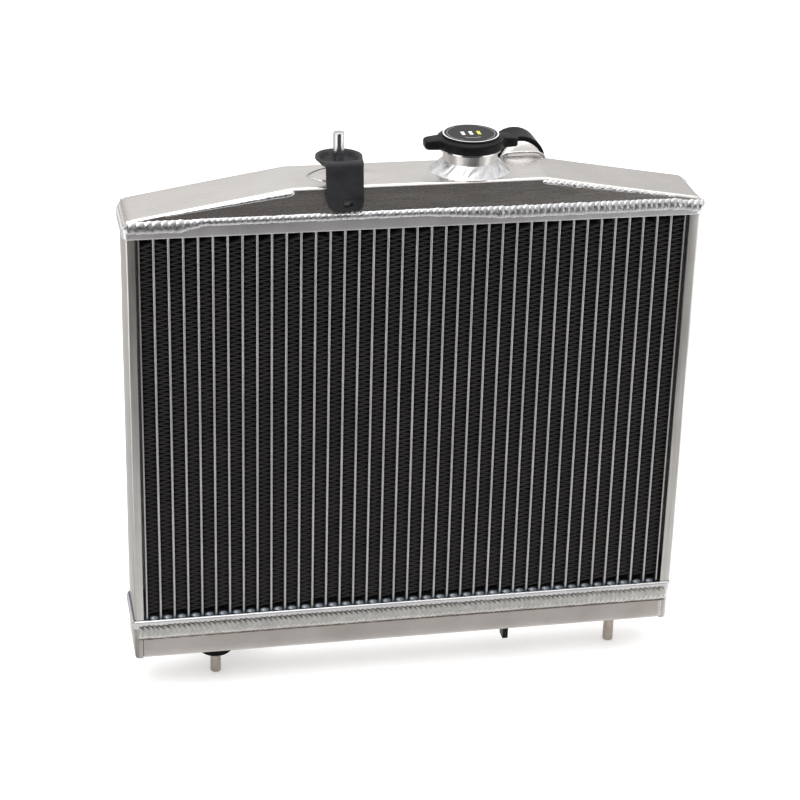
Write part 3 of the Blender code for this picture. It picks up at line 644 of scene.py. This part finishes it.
def make_top_tank():
    """The folded top tank: soft folds along its edges, and a pocket inside the filler neck."""
    shape = bmesh.new()
    low = TANK_LOW.z
    rows = []
    for x, top in tank_stations():
        row = []
        for y, z in tank_section(low, top):
            sag = 0.2 * MM * noise.noise(Vector((x * 14, y * 30, 1.5)))
            calm = min(1.0, (z - low) / (4 * MM))
            dent_y = 0.3 * MM * noise.noise(Vector((x * 16, z * 60, 7.5))) * calm
            if z == top and math.hypot(x - CAP_AXIS.x, y) < NECK_ROOM:
                sag -= POCKET_DEPTH
            row.append(Vector((x, y + (dent_y if abs(y) > HALF_DEPTH - MM else 0), z + sag * calm)))
        rows.append(row)
    bridge(shape, rows)
    add_piece("top_tank_sheet", shape, "tank_sheet", replaces=("top_tank",), smooth_degrees=35)


def ramp(value, start, end):
    """0 before start, 1 after end, straight in between; start may lie after end."""
    return min(1.0, max(0.0, (value - start) / (end - start)))


def broad_share(x):
    """Where the upper bead runs broad: its left end and all of its right half."""
    left = ramp(x, -148 * MM, -162 * MM)
    right = ramp(x, 5 * MM, 60 * MM) - 0.25 * ramp(x, 150 * MM, 190 * MM)
    return max(left, right)


def upper_bead_size(point):
    """Thin round the left end, heaped up round the right end."""
    broad = broad_share(point.x)
    if point.x < -HALF_WIDTH + 2.5 * MM:
        return 1.0, 0.15, 0.15
    corner = ramp(abs(point.y), 12 * MM, 20 * MM)
    if point.x > HALF_WIDTH + RIGHT_END_OUT - 2.5 * MM and corner < 1:
        thin = 0.15 + 0.85 * corner
        return 1.0, 1.4 * thin, 1.6 * thin
    heap = ramp(point.x, 188 * MM, 199 * MM)
    pitch = 1.0 + 0.25 * ramp(point.x, -150 * MM, -160 * MM)
    return pitch, 1.0 + 0.7 * broad + 0.1 * heap, 1.0 + 0.15 * broad + 0.6 * heap


def slope_bead(tag, start_x, end_x, thin, thick, height, depth, uneven, seed):
    """A ridge along the fold of a slope, front and back, rounded off at the crease."""
    def ridge_size(point):
        share = (point.x - start_x) / (end_x - start_x)
        tip = math.sqrt(ramp(share, 1.0, 0.965))
        width = (thin + (thick - thin) * share) / thick * tip
        return 1.0, width, (0.5 + 0.5 * share) * tip

    for side, where in ((-1, "front"), (1, "back")):
        outward = Vector((0, side * 0.8, 0.6))
        path = []
        steps = 260
        for step in range(steps + 1):
            share = step / steps
            x = start_x + (end_x - start_x) * share
            below = 0.9 * MM + 0.75 * (thin + (thick - thin) * share)
            path.append((Vector((x, side * (HALF_DEPTH - 0.4 * MM), tank_top_z(x) - below)), outward))
        weld_run(
            f"slope_bead_{tag}_{where}", path, thick, height, 4.2 * MM, depth=depth,
            uneven=uneven, seed=seed + side, size_at=ridge_size,
        )


def make_tank_welds():
    """The beads round both headers, the painted shade line under the lower one, and the slope beads."""
    low = TANK_LOW.z
    corners = ring_corners(HALF_WIDTH - 1.2 * MM, HALF_DEPTH + 0.1 * MM, low, 3 * MM, lift=0.25)
    path = []
    for point, outward in even_ring(corners, 0.35 * MM):
        to_corner = ramp(point.x, 178 * MM, 199 * MM)
        rise = (2.6 - 1.8 * broad_share(point.x) - 3.0 * to_corner) * MM
        path.append((point + Vector((RIGHT_END_OUT * to_corner, 0, rise)), outward))
    weld_run(
        "upper_header_bead", path, 2.8 * MM, 1.5 * MM, 4.2 * MM, depth=0.24, bow=(0.5, 2.0),
        seed=1, uneven=0.14, soft_bottom=1.9, closed=True, size_at=upper_bead_size,
        replaces=("upper_header_weld",),
    )
    low_bead, high_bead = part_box("lower_header_weld")
    middle = (low_bead.z + high_bead.z) / 2 + 2.0 * MM
    corners = ring_corners(high_bead.x - 2.2 * MM, HALF_DEPTH - 0.2 * MM, middle, 3.5 * MM)
    path = even_ring(corners, 0.4 * MM)
    weld_run(
        "lower_header_bead", path, 5.9 * MM, 1.2 * MM, 3.7 * MM, depth=0.42, bow=(-0.9, -0.6), slant=-0.4,
        seed=9, uneven=0.04, soft_top=2.0, soft_bottom=0.8, closed=True, look="dull_weld",
        replaces=("lower_header_weld",),
    )
    # A thin dark line along the lower bead's foot: painted shade of the groove under it.
    corners = ring_corners(high_bead.x - 2.2 * MM, HALF_DEPTH - 0.1 * MM, middle - 6.3 * MM, 3.5 * MM)
    weld_run(
        "lower_bead_shade_line", even_ring(corners, 0.6 * MM), 0.6 * MM, 0.45 * MM, 3.9 * MM,
        depth=0.3, uneven=0.4, seed=12, closed=True, look="painted_shade_line",
    )
    slope_bead("left", -172 * MM, LEFT_CREASE_X + 1 * MM, 0.8 * MM, 2.5 * MM, 1.5 * MM, 0.06, 0.12, 21)
    slope_bead("right", 180 * MM, RIGHT_CREASE_X - 3 * MM, 0.8 * MM, 2.2 * MM, 1.3 * MM, 0.45, 0.6, 33)


def make_bottom_tank():
    """The bottom tank's channel, and its two pressed ends."""
    shape = bmesh.new()
    low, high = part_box("bottom_tank")
    fold = 3 * MM
    rows = []
    steps = 120
    for step in range(steps + 1):
        x = low.x + (high.x - low.x) * step / steps
        section = [(-HALF_DEPTH, high.z), (-HALF_DEPTH, high.z * 0.6), (-HALF_DEPTH, high.z * 0.3)]
        section += arc((-HALF_DEPTH + fold, fold), fold, 180, 270, 8)
        section += arc((HALF_DEPTH - fold, fold), fold, 270, 360, 8)
        section += [(HALF_DEPTH, high.z * 0.3), (HALF_DEPTH, high.z * 0.6), (HALF_DEPTH, high.z)]
        row = []
        for y, z in section:
            dent = 0.25 * MM * noise.noise(Vector((x * 13, z * 50, 3.5)))
            row.append(Vector((x, y + (dent if abs(y) > HALF_DEPTH - MM else 0), z)))
        rows.append(row)
    bridge(shape, rows)
    add_piece("bottom_tank_sheet", shape, "low_sheet", replaces=("bottom_tank",), smooth_degrees=35)
    for side, tag in ((-1, "left"), (1, "right")):
        refine(f"bottom_tank_end_{tag}", f"end_cap_{tag}", "low_sheet", width=1.2 * MM, segments=4)
        seam_x = side * (high.x + 0.15 * MM)
        for face, where in ((-1, "front"), (1, "back")):
            outward = Vector((0, face, 0))
            y = face * (HALF_DEPTH - 0.2 * MM)
            heights = [15.5 * MM - 13.5 * MM * step / 30 for step in range(31)]
            path = [(Vector((seam_x, y, z)), outward) for z in heights]
            # The left seam is a thin dark line, painted shade of the seam's crack; the right one is a bead.
            half_width, height, look = (0.45, 0.3, "painted_shade_line") if side < 0 else (1.4, 0.7, "dull_weld")
            weld_run(
                f"seam_{tag}_{where}", path, half_width * MM, height * MM, 2.6 * MM, depth=0.3,
                seed=50 + face * side, look=look,
            )


# ---- neck and cap

def make_neck():
    """The filler neck and the broad weld that flares round its foot."""
    refine("filler_neck", "neck_tube", "neck_metal", width=0.3 * MM)
    refine("overflow_pipe", "overflow_tube", "tank_sheet", width=0.3 * MM)
    low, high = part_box("neck_weld")
    base = TANK_HIGH.z
    reach_x = high.x - CAP_AXIS.x
    reach_y = high.y
    inner = (NECK_HIGH.x - NECK_LOW.x) / 2 - 1.6 * MM
    petals = 21
    shape = bmesh.new()
    rows = []
    steps = 520
    for step in range(steps):
        angle = 2 * math.pi * step / steps
        wander = noise.noise(Vector((math.cos(angle) * 3, math.sin(angle) * 3, 4.0)))
        row = []
        for level in range(19):
            share = level / 18
            radius_x = inner + (reach_x + wander * MM - inner) * share
            radius_y = inner + (reach_y - inner) * share
            wave = ripple(petals * (step / steps) + 0.9 * share + 0.5 * wander)
            fade = math.sin(math.pi * min(1.0, share * 1.15)) ** 0.7 if share < 0.87 else 0.0
            rise = 8.2 * MM * (1 - share) ** 1.6 + 0.9 * MM * math.sin(math.pi * share)
            rise += 0.7 * MM * (wave - 0.5) * fade
            row.append(Vector((
                CAP_AXIS.x + radius_x * math.cos(angle), radius_y * math.sin(angle), base + rise + 0.15 * MM
            )))
        foot = base - 0.3 * MM
        row.append(Vector((row[-1].x, row[-1].y, foot)))
        row.append(Vector((row[0].x, row[0].y, foot)))
        rows.append(row)
    bridge(shape, rows, closed_path=True)
    add_piece("neck_foot_bead", shape, "weld", slot="weld", replaces=("neck_weld",), smooth_degrees=60)


def cap_reach(angle):
    """Outline of the cap seen from above: a round body with two rounded wings."""
    half_span = (SHELL_HIGH.x - SHELL_LOW.x) / 2
    half_wing = 6.6 * MM
    across = abs(math.cos(angle)) / half_span
    along = abs(math.sin(angle)) / half_wing
    wing = (across ** 7 + along ** 7) ** (-1 / 7)
    sharpness = 900.0
    body = CAP_BODY_RADIUS
    peak = max(wing, body)
    return peak + math.log(1 + math.exp(-sharpness * abs(wing - body))) / sharpness


def make_cap():
    """The cap: its metal lock cup, its moulded cover with two wings, and its label."""
    refine("cap_lock_plate", "cap_lock_cup", "steel", "cap", "bright_steel", width=0.15 * MM)
    top, low = SHELL_HIGH.z, SHELL_LOW.z
    shape = bmesh.new()
    rows = []
    edge = 1.7 * MM
    for angle in full_turn(360):
        reach = cap_reach(angle)
        start = LABEL_RADIUS + 0.8 * MM
        profile = [(0.0001 * MM, top), (LABEL_RADIUS + 0.2 * MM, top), (start, top - 0.25 * MM)]
        shoulder = top - 0.9 * MM - 0.1 * (reach - CAP_BODY_RADIUS)
        inner_edge = max(start + 0.3 * MM, reach - edge)
        for share in (0.35, 0.7):
            z = top - 0.25 * MM + (shoulder - top) * share * 0.8
            profile.append((start + (inner_edge - start) * share, z))
        profile += arc((inner_edge, shoulder - edge), edge, 90, 0, 5)
        profile += [(inner_edge + edge, low + 1.0 * MM), (inner_edge + edge - 0.8 * MM, low)]
        profile += [(22 * MM, low), (22 * MM, top - 2.6 * MM), (0.0001 * MM, top - 2.6 * MM)]
        across, along = math.cos(angle), math.sin(angle)
        rows.append([
            Vector((CAP_AXIS.x + radius * across, radius * along, z)) for radius, z in profile
        ])
    bridge(shape, rows, closed_path=True)
    bmesh.ops.remove_doubles(shape, verts=shape.verts, dist=0.0005 * MM)
    add_piece("cap_cover", shape, "plastic", "cap", "black_plastic", ("cap_shell",), smooth_degrees=50)
    make_label()


def make_label():
    """The label disc with its rings and three plain bars."""
    low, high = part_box("cap_label")
    centre = (CAP_AXIS.x, 0, 0)
    face = high.z - 0.15 * MM
    radius = LABEL_RADIUS
    turned(
        "label_disc",
        [(0, low.z), (radius, low.z), (radius, face - 0.3 * MM), (radius - 0.3 * MM, face), (0, face)],
        centre, "label", body="cap", slot="label", replaces=("cap_label",), steps=96,
    )
    ring_profile = [
        (18.3 * MM, face - 0.1 * MM), (19.2 * MM, face - 0.1 * MM),
        (19.2 * MM, face + 0.1 * MM), (18.3 * MM, face + 0.1 * MM),
    ]
    turned("label_rim_ring", ring_profile, centre, "white_print", body="cap", slot="label", steps=96)
    for tag, inner, outer, start, end, steps in (
        ("left", 16.1, 16.6, 120, 240, 30),
        ("right", 16.1, 16.6, -60, 60, 30),
        ("low", 9.6, 10.6, 235, 300, 16),
    ):
        outline = arc((0, 0), outer, start, end, steps) + arc((0, 0), inner, end, start, steps)
        print_mark(f"label_arc_{tag}", outline, "grey_print", face)
    half_width, half_length = 1.2, 3.5
    for tag, x, look in (
        ("left", -5.5, "white_print"), ("middle", 0, "white_print"), ("right", 5.5, "yellow_print"),
    ):
        left, right = x - half_width, x + half_width
        outline = [(left, -half_length), (right, -half_length), (right, half_length), (left, half_length)]
        print_mark(f"label_bar_{tag}", outline, look, face)


def print_mark(name, outline, look, face):
    """A thin printed shape on the label, outline in millimetres from the cap's axis."""
    shape = bmesh.new()
    rows = [
        [Vector((CAP_AXIS.x + x * MM, y * MM, z)) for x, y in outline]
        for z in (face - 0.1 * MM, face + 0.1 * MM)
    ]
    bridge(shape, rows)
    add_piece(name, shape, look, body="cap", slot="label")


def make_small_parts():
    """The CAD shapes that only need rounded edges, and the flat plates and seals as they are."""
    for node, name, look, body, slot, width in (
        ("mount_stud", "stud", "steel", RADIATOR, "bright_steel", 0.4),
        ("mount_bush", "bush", "rubber", RADIATOR, "rubber", 0.6),
        ("lower_pin_left", "pin_left", "pin_metal", RADIATOR, "aluminium", 0.2),
        ("lower_pin_right", "pin_right", "pin_metal", RADIATOR, "aluminium", 0.2),
        ("grommet_left", "grommet", "rubber", RADIATOR, "rubber", 0.5),
        ("drain_boss", "drain_socket", "tank_sheet", RADIATOR, "aluminium", 0.3),
        ("drain_cock", "drain_handle", "plastic", "drain", "black_plastic", 0.4),
        ("drain_seal", "drain_ring", "rubber", "drain", "rubber", 0.3),
        ("upper_hose_pipe", "hose_pipe_upper", "tank_sheet", RADIATOR, "aluminium", 0.2),
        ("lower_hose_pipe", "hose_pipe_lower", "tank_sheet", RADIATOR, "aluminium", 0.2),
        ("upper_pipe_plug", "plug_upper", "plastic", "upper_plug", "black_plastic", 1.2),
        ("lower_pipe_plug", "plug_lower", "plastic", "lower_plug", "black_plastic", 1.2),
    ):
        refine(node, name, look, body, slot, width * MM)
    for node, look in (
        ("core_plate_left", "tube_metal"), ("core_plate_right", "tube_metal"),
        ("cap_upper_seal", "rubber"), ("cap_valve_seal", "rubber"), ("cap_valve_plate", "steel"),
        ("cap_vacuum_valve", "brass"),
    ):
        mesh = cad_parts[node].data
        mesh.materials.clear()
        mesh.materials.append(LOOKS[look])


def make_spring():
    """The cap's spring with a mesh of its own; the real spring shortens as the pressure valve lifts."""
    shape = bmesh.new()
    shape.from_mesh(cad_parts["cap_spring"].data)
    spring = add_piece("spring", shape, "steel", body="cap", slot="bright_steel", replaces=("cap_spring",))
    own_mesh(spring)


def make_pipe_welds():
    """A bead round the oval foot of each hose pipe, on the back of the tanks."""
    for name in ("upper", "lower"):
        low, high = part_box(f"{name}_pipe_weld")
        centre = (low + high) / 2
        half_x = (high.x - low.x) / 2 - 2.2 * MM
        half_z = (high.z - low.z) / 2 - 3.0 * MM
        path = []
        for angle in full_turn(260):
            across = math.copysign(abs(math.cos(angle)) ** 0.55, math.cos(angle))
            up = math.copysign(abs(math.sin(angle)) ** 0.55, math.sin(angle))
            outward = Vector((math.cos(angle) * 0.7, 0.7, math.sin(angle) * 0.7)).normalized()
            point = Vector((centre.x + half_x * across, low.y + 0.5 * MM, centre.z - 0.6 * MM + half_z * up))
            path.append((point, outward))
        weld_run(
            f"{name}_pipe_bead", path, 1.8 * MM, 0.9 * MM, 4.0 * MM, depth=0.15, seed=70, closed=True,
            upright=False, replaces=(f"{name}_pipe_weld",),
        )


# ---- top mount

def bracket_top_rows():
    """(left x, right x, y, z) rows over the dish, then down the bend to the web."""
    rows = []
    for y in (8.0, 7.6, 6.6, 5.0, 3, 0.5, -2, -4.5, -7, -9.5, -12, -14.5, -17, -19.5, -22, -24.4):
        back = max(0.0, (y + 7.5) / 15.5)
        half = 15.6 * math.sqrt(max(0.0, 1 - back * back)) + 0.4
        front = max(0.0, min(1.0, (-y - 8) / 16.4))
        z = BRACKET_TOP + 1.2 + LIP_RISE * ramp(-y, 18, 24.4)
        rows.append((DISH_X - half + 3.4 * front, DISH_X + half - 2.2 * front, y, z))
    for degrees in (15, 30, 45, 60, 75, 90):
        y = -24.4 - 2.6 * math.sin(math.radians(degrees))
        z = BRACKET_TOP + 1.2 + LIP_RISE - 2.6 * (1 - math.cos(math.radians(degrees)))
        rows.append((DISH_X - 12.6 + 0.6 * degrees / 90, DISH_X + 13.8 - 0.4 * degrees / 90, y, z))
    for z in (360, 354, WEB_BEND):
        share = (BRACKET_TOP - 1.4 - z) / 20.6
        rows.append((DISH_X - 12.0 + 0.8 * share, DISH_X + 13.4 + 0.6 * share, -27, z))
    return rows


def dish_depth(x, y):
    """How far the dish is pressed down round the stud, in millimetres."""
    away = math.hypot((x - DISH_X) / 1.12, (y + 7.2) * (0.8 if y < -7.2 else 1.0))
    share = min(1.0, max(0.0, (13.2 - away) / 3.2))
    return DISH_DEPTH * share * share * (3 - 2 * share)


def make_bracket():
    """The pressed bracket: a round dish under the stud and a web with the bolt hole."""
    columns = 30
    shape = bmesh.new()
    grid = []
    for left, right, y, z in bracket_top_rows():
        row = []
        for column in range(columns + 1):
            x = left + (right - left) * column / columns
            row.append(shape.verts.new(Vector((x, y, z - dish_depth(x, y))) * MM))
        grid.append(row)
    for first, second in zip(grid, grid[1:]):
        for column in range(columns):
            shape.faces.new((first[column], first[column + 1], second[column + 1], second[column]))
    top_edge = grid[-1]
    left, right = top_edge[0].co.x / MM, top_edge[-1].co.x / MM
    bottom = 336.8
    outline = [(right - 0.1, 344.0)]
    outline += arc((right - 5.2, bottom + 5), 5, 0, -90, 6)
    outline += arc((left + 8.4, bottom + 8), 8, -90, -180, 8)
    outline += [(left + 0.1, 345.0)]
    lower = [shape.verts.new(web_point(x, z)) for x, z in outline]
    hole = [
        shape.verts.new(web_point(x, 342 + (z - 342) * 0.72))
        for x, z in arc((BRACKET_HOLE_X, 342), 3.5, 0, 345, 23)
    ]
    outer = top_edge + lower
    loops = [[vertex.co for vertex in outer], [vertex.co for vertex in hole]]
    corners = outer + hole
    for triangle in geometry.tessellate_polygon(loops):
        shape.faces.new([corners[index] for index in triangle])
    bracket = add_piece(
        "bracket", shape, "paint", slot="black_paint", replaces=("mount_bracket",), smooth_degrees=50
    )
    change = bracket.modifiers.new("sheet thickness", "SOLIDIFY")
    change.thickness = 2 * MM
    change.offset = 0
    rounding = bracket.modifiers.new("rounded edges", "BEVEL")
    rounding.width = 0.5 * MM
    rounding.segments = 3
    rounding.limit_method = "ANGLE"
    rounding.angle_limit = math.radians(50)
    rounding.harden_normals = True


def make_collar():
    """The low dark collar at the bottom of the dish."""
    low = (BRACKET_TOP - 3.2) * MM
    turned(
        "collar", [(4.1 * MM, low), (6.4 * MM, low), (5.8 * MM, low + 1.0 * MM), (4.1 * MM, low + 1.2 * MM)],
        (DISH_X * MM, STUD_Y, 0), "paint", slot="black_paint", replaces=("stud_collar",),
    )


def web_point(x, z):
    """A point of the web in metres; its lower tab leans a little to the back."""
    return Vector((x, -27 + 0.12 * max(0.0, WEB_BEND - z), z)) * MM


def make_pad():
    """The low raised pad under the bracket, and the thin weld round it."""
    low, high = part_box("mount_pad")
    centre = (low + high) / 2
    reach_x, reach_y = (high.x - low.x) / 2 * 1.06, (high.y - low.y) / 2
    shape = bmesh.new()
    rows = []
    for angle in full_turn(120):
        leaf = math.copysign(abs(math.sin(angle)) ** 1.5, math.sin(angle))
        row = []
        for level in range(9):
            share = level / 8
            rise = 1.1 * MM * math.cos(share * math.pi / 2) ** 2
            row.append(Vector((
                centre.x + reach_x * share * math.cos(angle) + 0.0001 * MM * math.cos(angle),
                reach_y * share * leaf + 0.0001 * MM * math.sin(angle),
                TANK_HIGH.z + 0.1 * MM + rise,
            )))
        row.append(Vector((row[-1].x, row[-1].y, TANK_HIGH.z - 0.2 * MM)))
        row.append(Vector((row[0].x, row[0].y, TANK_HIGH.z - 0.2 * MM)))
        rows.append(row)
    bridge(shape, rows, closed_path=True)
    bmesh.ops.remove_doubles(shape, verts=shape.verts, dist=0.0005 * MM)
    add_piece("pad", shape, "tank_sheet", replaces=("mount_pad",), smooth_degrees=60)
    path = []
    for step in range(150):
        angle = math.radians(95 + 170 * step / 149)
        outward = Vector((0.4 * math.cos(angle), 0.4 * math.sin(angle), 0.9)).normalized()
        path.append((
            Vector((
                centre.x + (reach_x - 1.5 * MM) * math.cos(angle),
                (reach_y - 1.2 * MM) * math.copysign(abs(math.sin(angle)) ** 1.5, math.sin(angle)),
                TANK_HIGH.z + 0.1 * MM,
            )),
            outward,
        ))
    weld_run(
        "pad_bead", path, 1.1 * MM, 0.3 * MM, 3.4 * MM, depth=0.06, uneven=0.3, seed=77, look="dull_weld",
    )


# ---- stage

def dark_surround(name, points, material):
    """A dark four-cornered surface that only shows as a reflection in the metal."""
    mesh = bpy.data.meshes.new(name)
    mesh.from_pydata(points, [], [(0, 1, 2, 3)])
    mesh.materials.append(material)
    item = bpy.data.objects.new(name, mesh)
    bpy.context.collection.objects.link(item)
    item.visible_camera = False
    item.visible_diffuse = False
    item.visible_shadow = False
    item.visible_transmission = False


def make_stage():
    """White floor, dark room around it seen in reflections only, sky light and two lamps."""
    floor_material, tree, shader = new_material("floor", (0.86, 0.86, 0.86), 0.8)
    colour_between(tree, shader, grain(tree, 3.0), (0.85, 0.85, 0.85), (0.88, 0.88, 0.88))
    shader.inputs["Emission Color"].default_value = (1, 1, 1, 1)
    shader.inputs["Emission Strength"].default_value = FLOOR_GLOW
    bpy.ops.mesh.primitive_plane_add(size=80, location=(0, 0, FLOOR_Z - 0.0002))
    floor = bpy.context.object
    floor.name = "floor"
    floor.data.materials.append(floor_material)

    room, tree, shader = new_material("dark_room", (0.03, 0.026, 0.024), 0.9)
    colour_between(tree, shader, grain(tree, 2.0), (0.026, 0.022, 0.02), (0.034, 0.03, 0.028))
    # Its colour falls from light near the radiator to dark far off: painted fall-off of the floor's light,
    # seen only in reflections.
    sweep, tree, shader = new_material("floor_falling_dark", (0.5, 0.49, 0.48), 0.9)
    place = tree.nodes.new("ShaderNodeTexCoord")
    split = tree.nodes.new("ShaderNodeSeparateXYZ")
    tree.links.new(place.outputs["Object"], split.inputs["Vector"])
    distance = remap(tree, split.outputs["Y"], 1.0, 0.0, SWEEP_FAR, SWEEP_NEAR)
    colour_between(tree, shader, distance, (0.72, 0.71, 0.7), (0.026, 0.022, 0.02), 0.0, 1.0)
    height = FLOOR_Z + 4 * MM
    strip = [(-0.42, SWEEP_NEAR), (0.46, SWEEP_NEAR), (0.62, SWEEP_FAR), (-0.66, SWEEP_FAR)]
    dark_surround("sweep_floor", [(x, y, height) for x, y in strip], sweep)
    beyond = [(-0.66, SWEEP_FAR), (0.62, SWEEP_FAR), (1.5, -3.2), (-2.3, -3.2)]
    dark_surround("dark_floor", [(x, y, height) for x, y in beyond], room)
    grey, tree, shader = new_material("grey_floor", (0.4, 0.39, 0.38), 0.9)
    colour_between(tree, shader, grain(tree, 2.0), (0.38, 0.37, 0.36), (0.42, 0.41, 0.4))
    beside = [(-1.3, -0.15), (-0.212, -0.15), (-0.212, 2.6), (-1.3, 2.6)]
    dark_surround("grey_side", [(x, y, height) for x, y in beside], grey)
    wall = [(-1.9, -2.4, height), (1.25, -2.4, height), (1.25, -2.4, 1.3), (-1.9, -2.4, 1.3)]
    dark_surround("dark_wall", wall, room)

    world = bpy.data.worlds.new("studio")
    world.use_nodes = True
    tree = world.node_tree
    place = tree.nodes.new("ShaderNodeTexCoord")
    split = tree.nodes.new("ShaderNodeSeparateXYZ")
    tree.links.new(place.outputs["Generated"], split.inputs["Vector"])
    ramp = tree.nodes.new("ShaderNodeValToRGB")
    ramp.color_ramp.elements[0].position = 0.0
    ramp.color_ramp.elements[0].color = (0.3, 0.29, 0.285, 1)
    ramp.color_ramp.elements[1].position = 1.0
    ramp.color_ramp.elements[1].color = (1, 1, 1, 1)
    middle = ramp.color_ramp.elements.new(0.36)
    middle.color = (0.75, 0.745, 0.735, 1)
    tree.links.new(split.outputs["Z"], ramp.inputs["Fac"])
    background = tree.nodes["Background"]
    tree.links.new(ramp.outputs["Color"], background.inputs["Color"])
    background.inputs["Strength"].default_value = SKY_STRENGTH
    bpy.context.scene.world = world
    for name, place, size, power in (
        ("key_light", (-0.9, -1.2, 2.2), 1.6, 24),
        ("top_light", (0.2, 0.5, 2.4), 2.2, 26),
    ):
        light = bpy.data.lights.new(name, "AREA")
        light.size = size
        light.energy = power
        lamp = bpy.data.objects.new(name, light)
        lamp.location = place
        lamp.rotation_euler = (Vector((0, 0, 0.15)) - Vector(place)).to_track_quat("-Z", "Y").to_euler()
        bpy.context.collection.objects.link(lamp)


def make_camera():
    data = bpy.data.cameras.new("camera")
    data.lens = CAMERA_LENS
    data.sensor_width = 36
    camera = bpy.data.objects.new("camera", data)
    bpy.context.collection.objects.link(camera)
    turn = Matrix.Rotation(math.radians(-CAMERA_AZIMUTH), 4, "Z")
    tilt = Matrix.Rotation(math.radians(90 - CAMERA_ELEVATION), 4, "X")
    roll = Matrix.Rotation(math.radians(CAMERA_ROLL), 4, "Z")
    camera.matrix_world = Matrix.Translation(CAMERA_PLACE) @ turn @ tilt @ roll
    bpy.context.scene.camera = camera
    bpy.context.scene.view_settings.view_transform = "Standard"


make_camera()
make_tubes()
make_fins()
make_header("lower_header_pan", "lower_header", HEADER_LOW, HEADER_HIGH, 1, LOWER_RIM_BEND, HUMP_HEIGHT)
make_header("upper_header_pan", "upper_header", UPPER_LOW, UPPER_HIGH, -1, UPPER_RIM_BEND, 0)
make_channel("left", -1)
make_channel("right", 1)
make_top_tank()
make_bottom_tank()
make_tank_welds()
make_neck()
make_cap()
make_small_parts()
make_spring()
make_pipe_welds()
make_bracket()
make_collar()
make_pad()
make_stage()
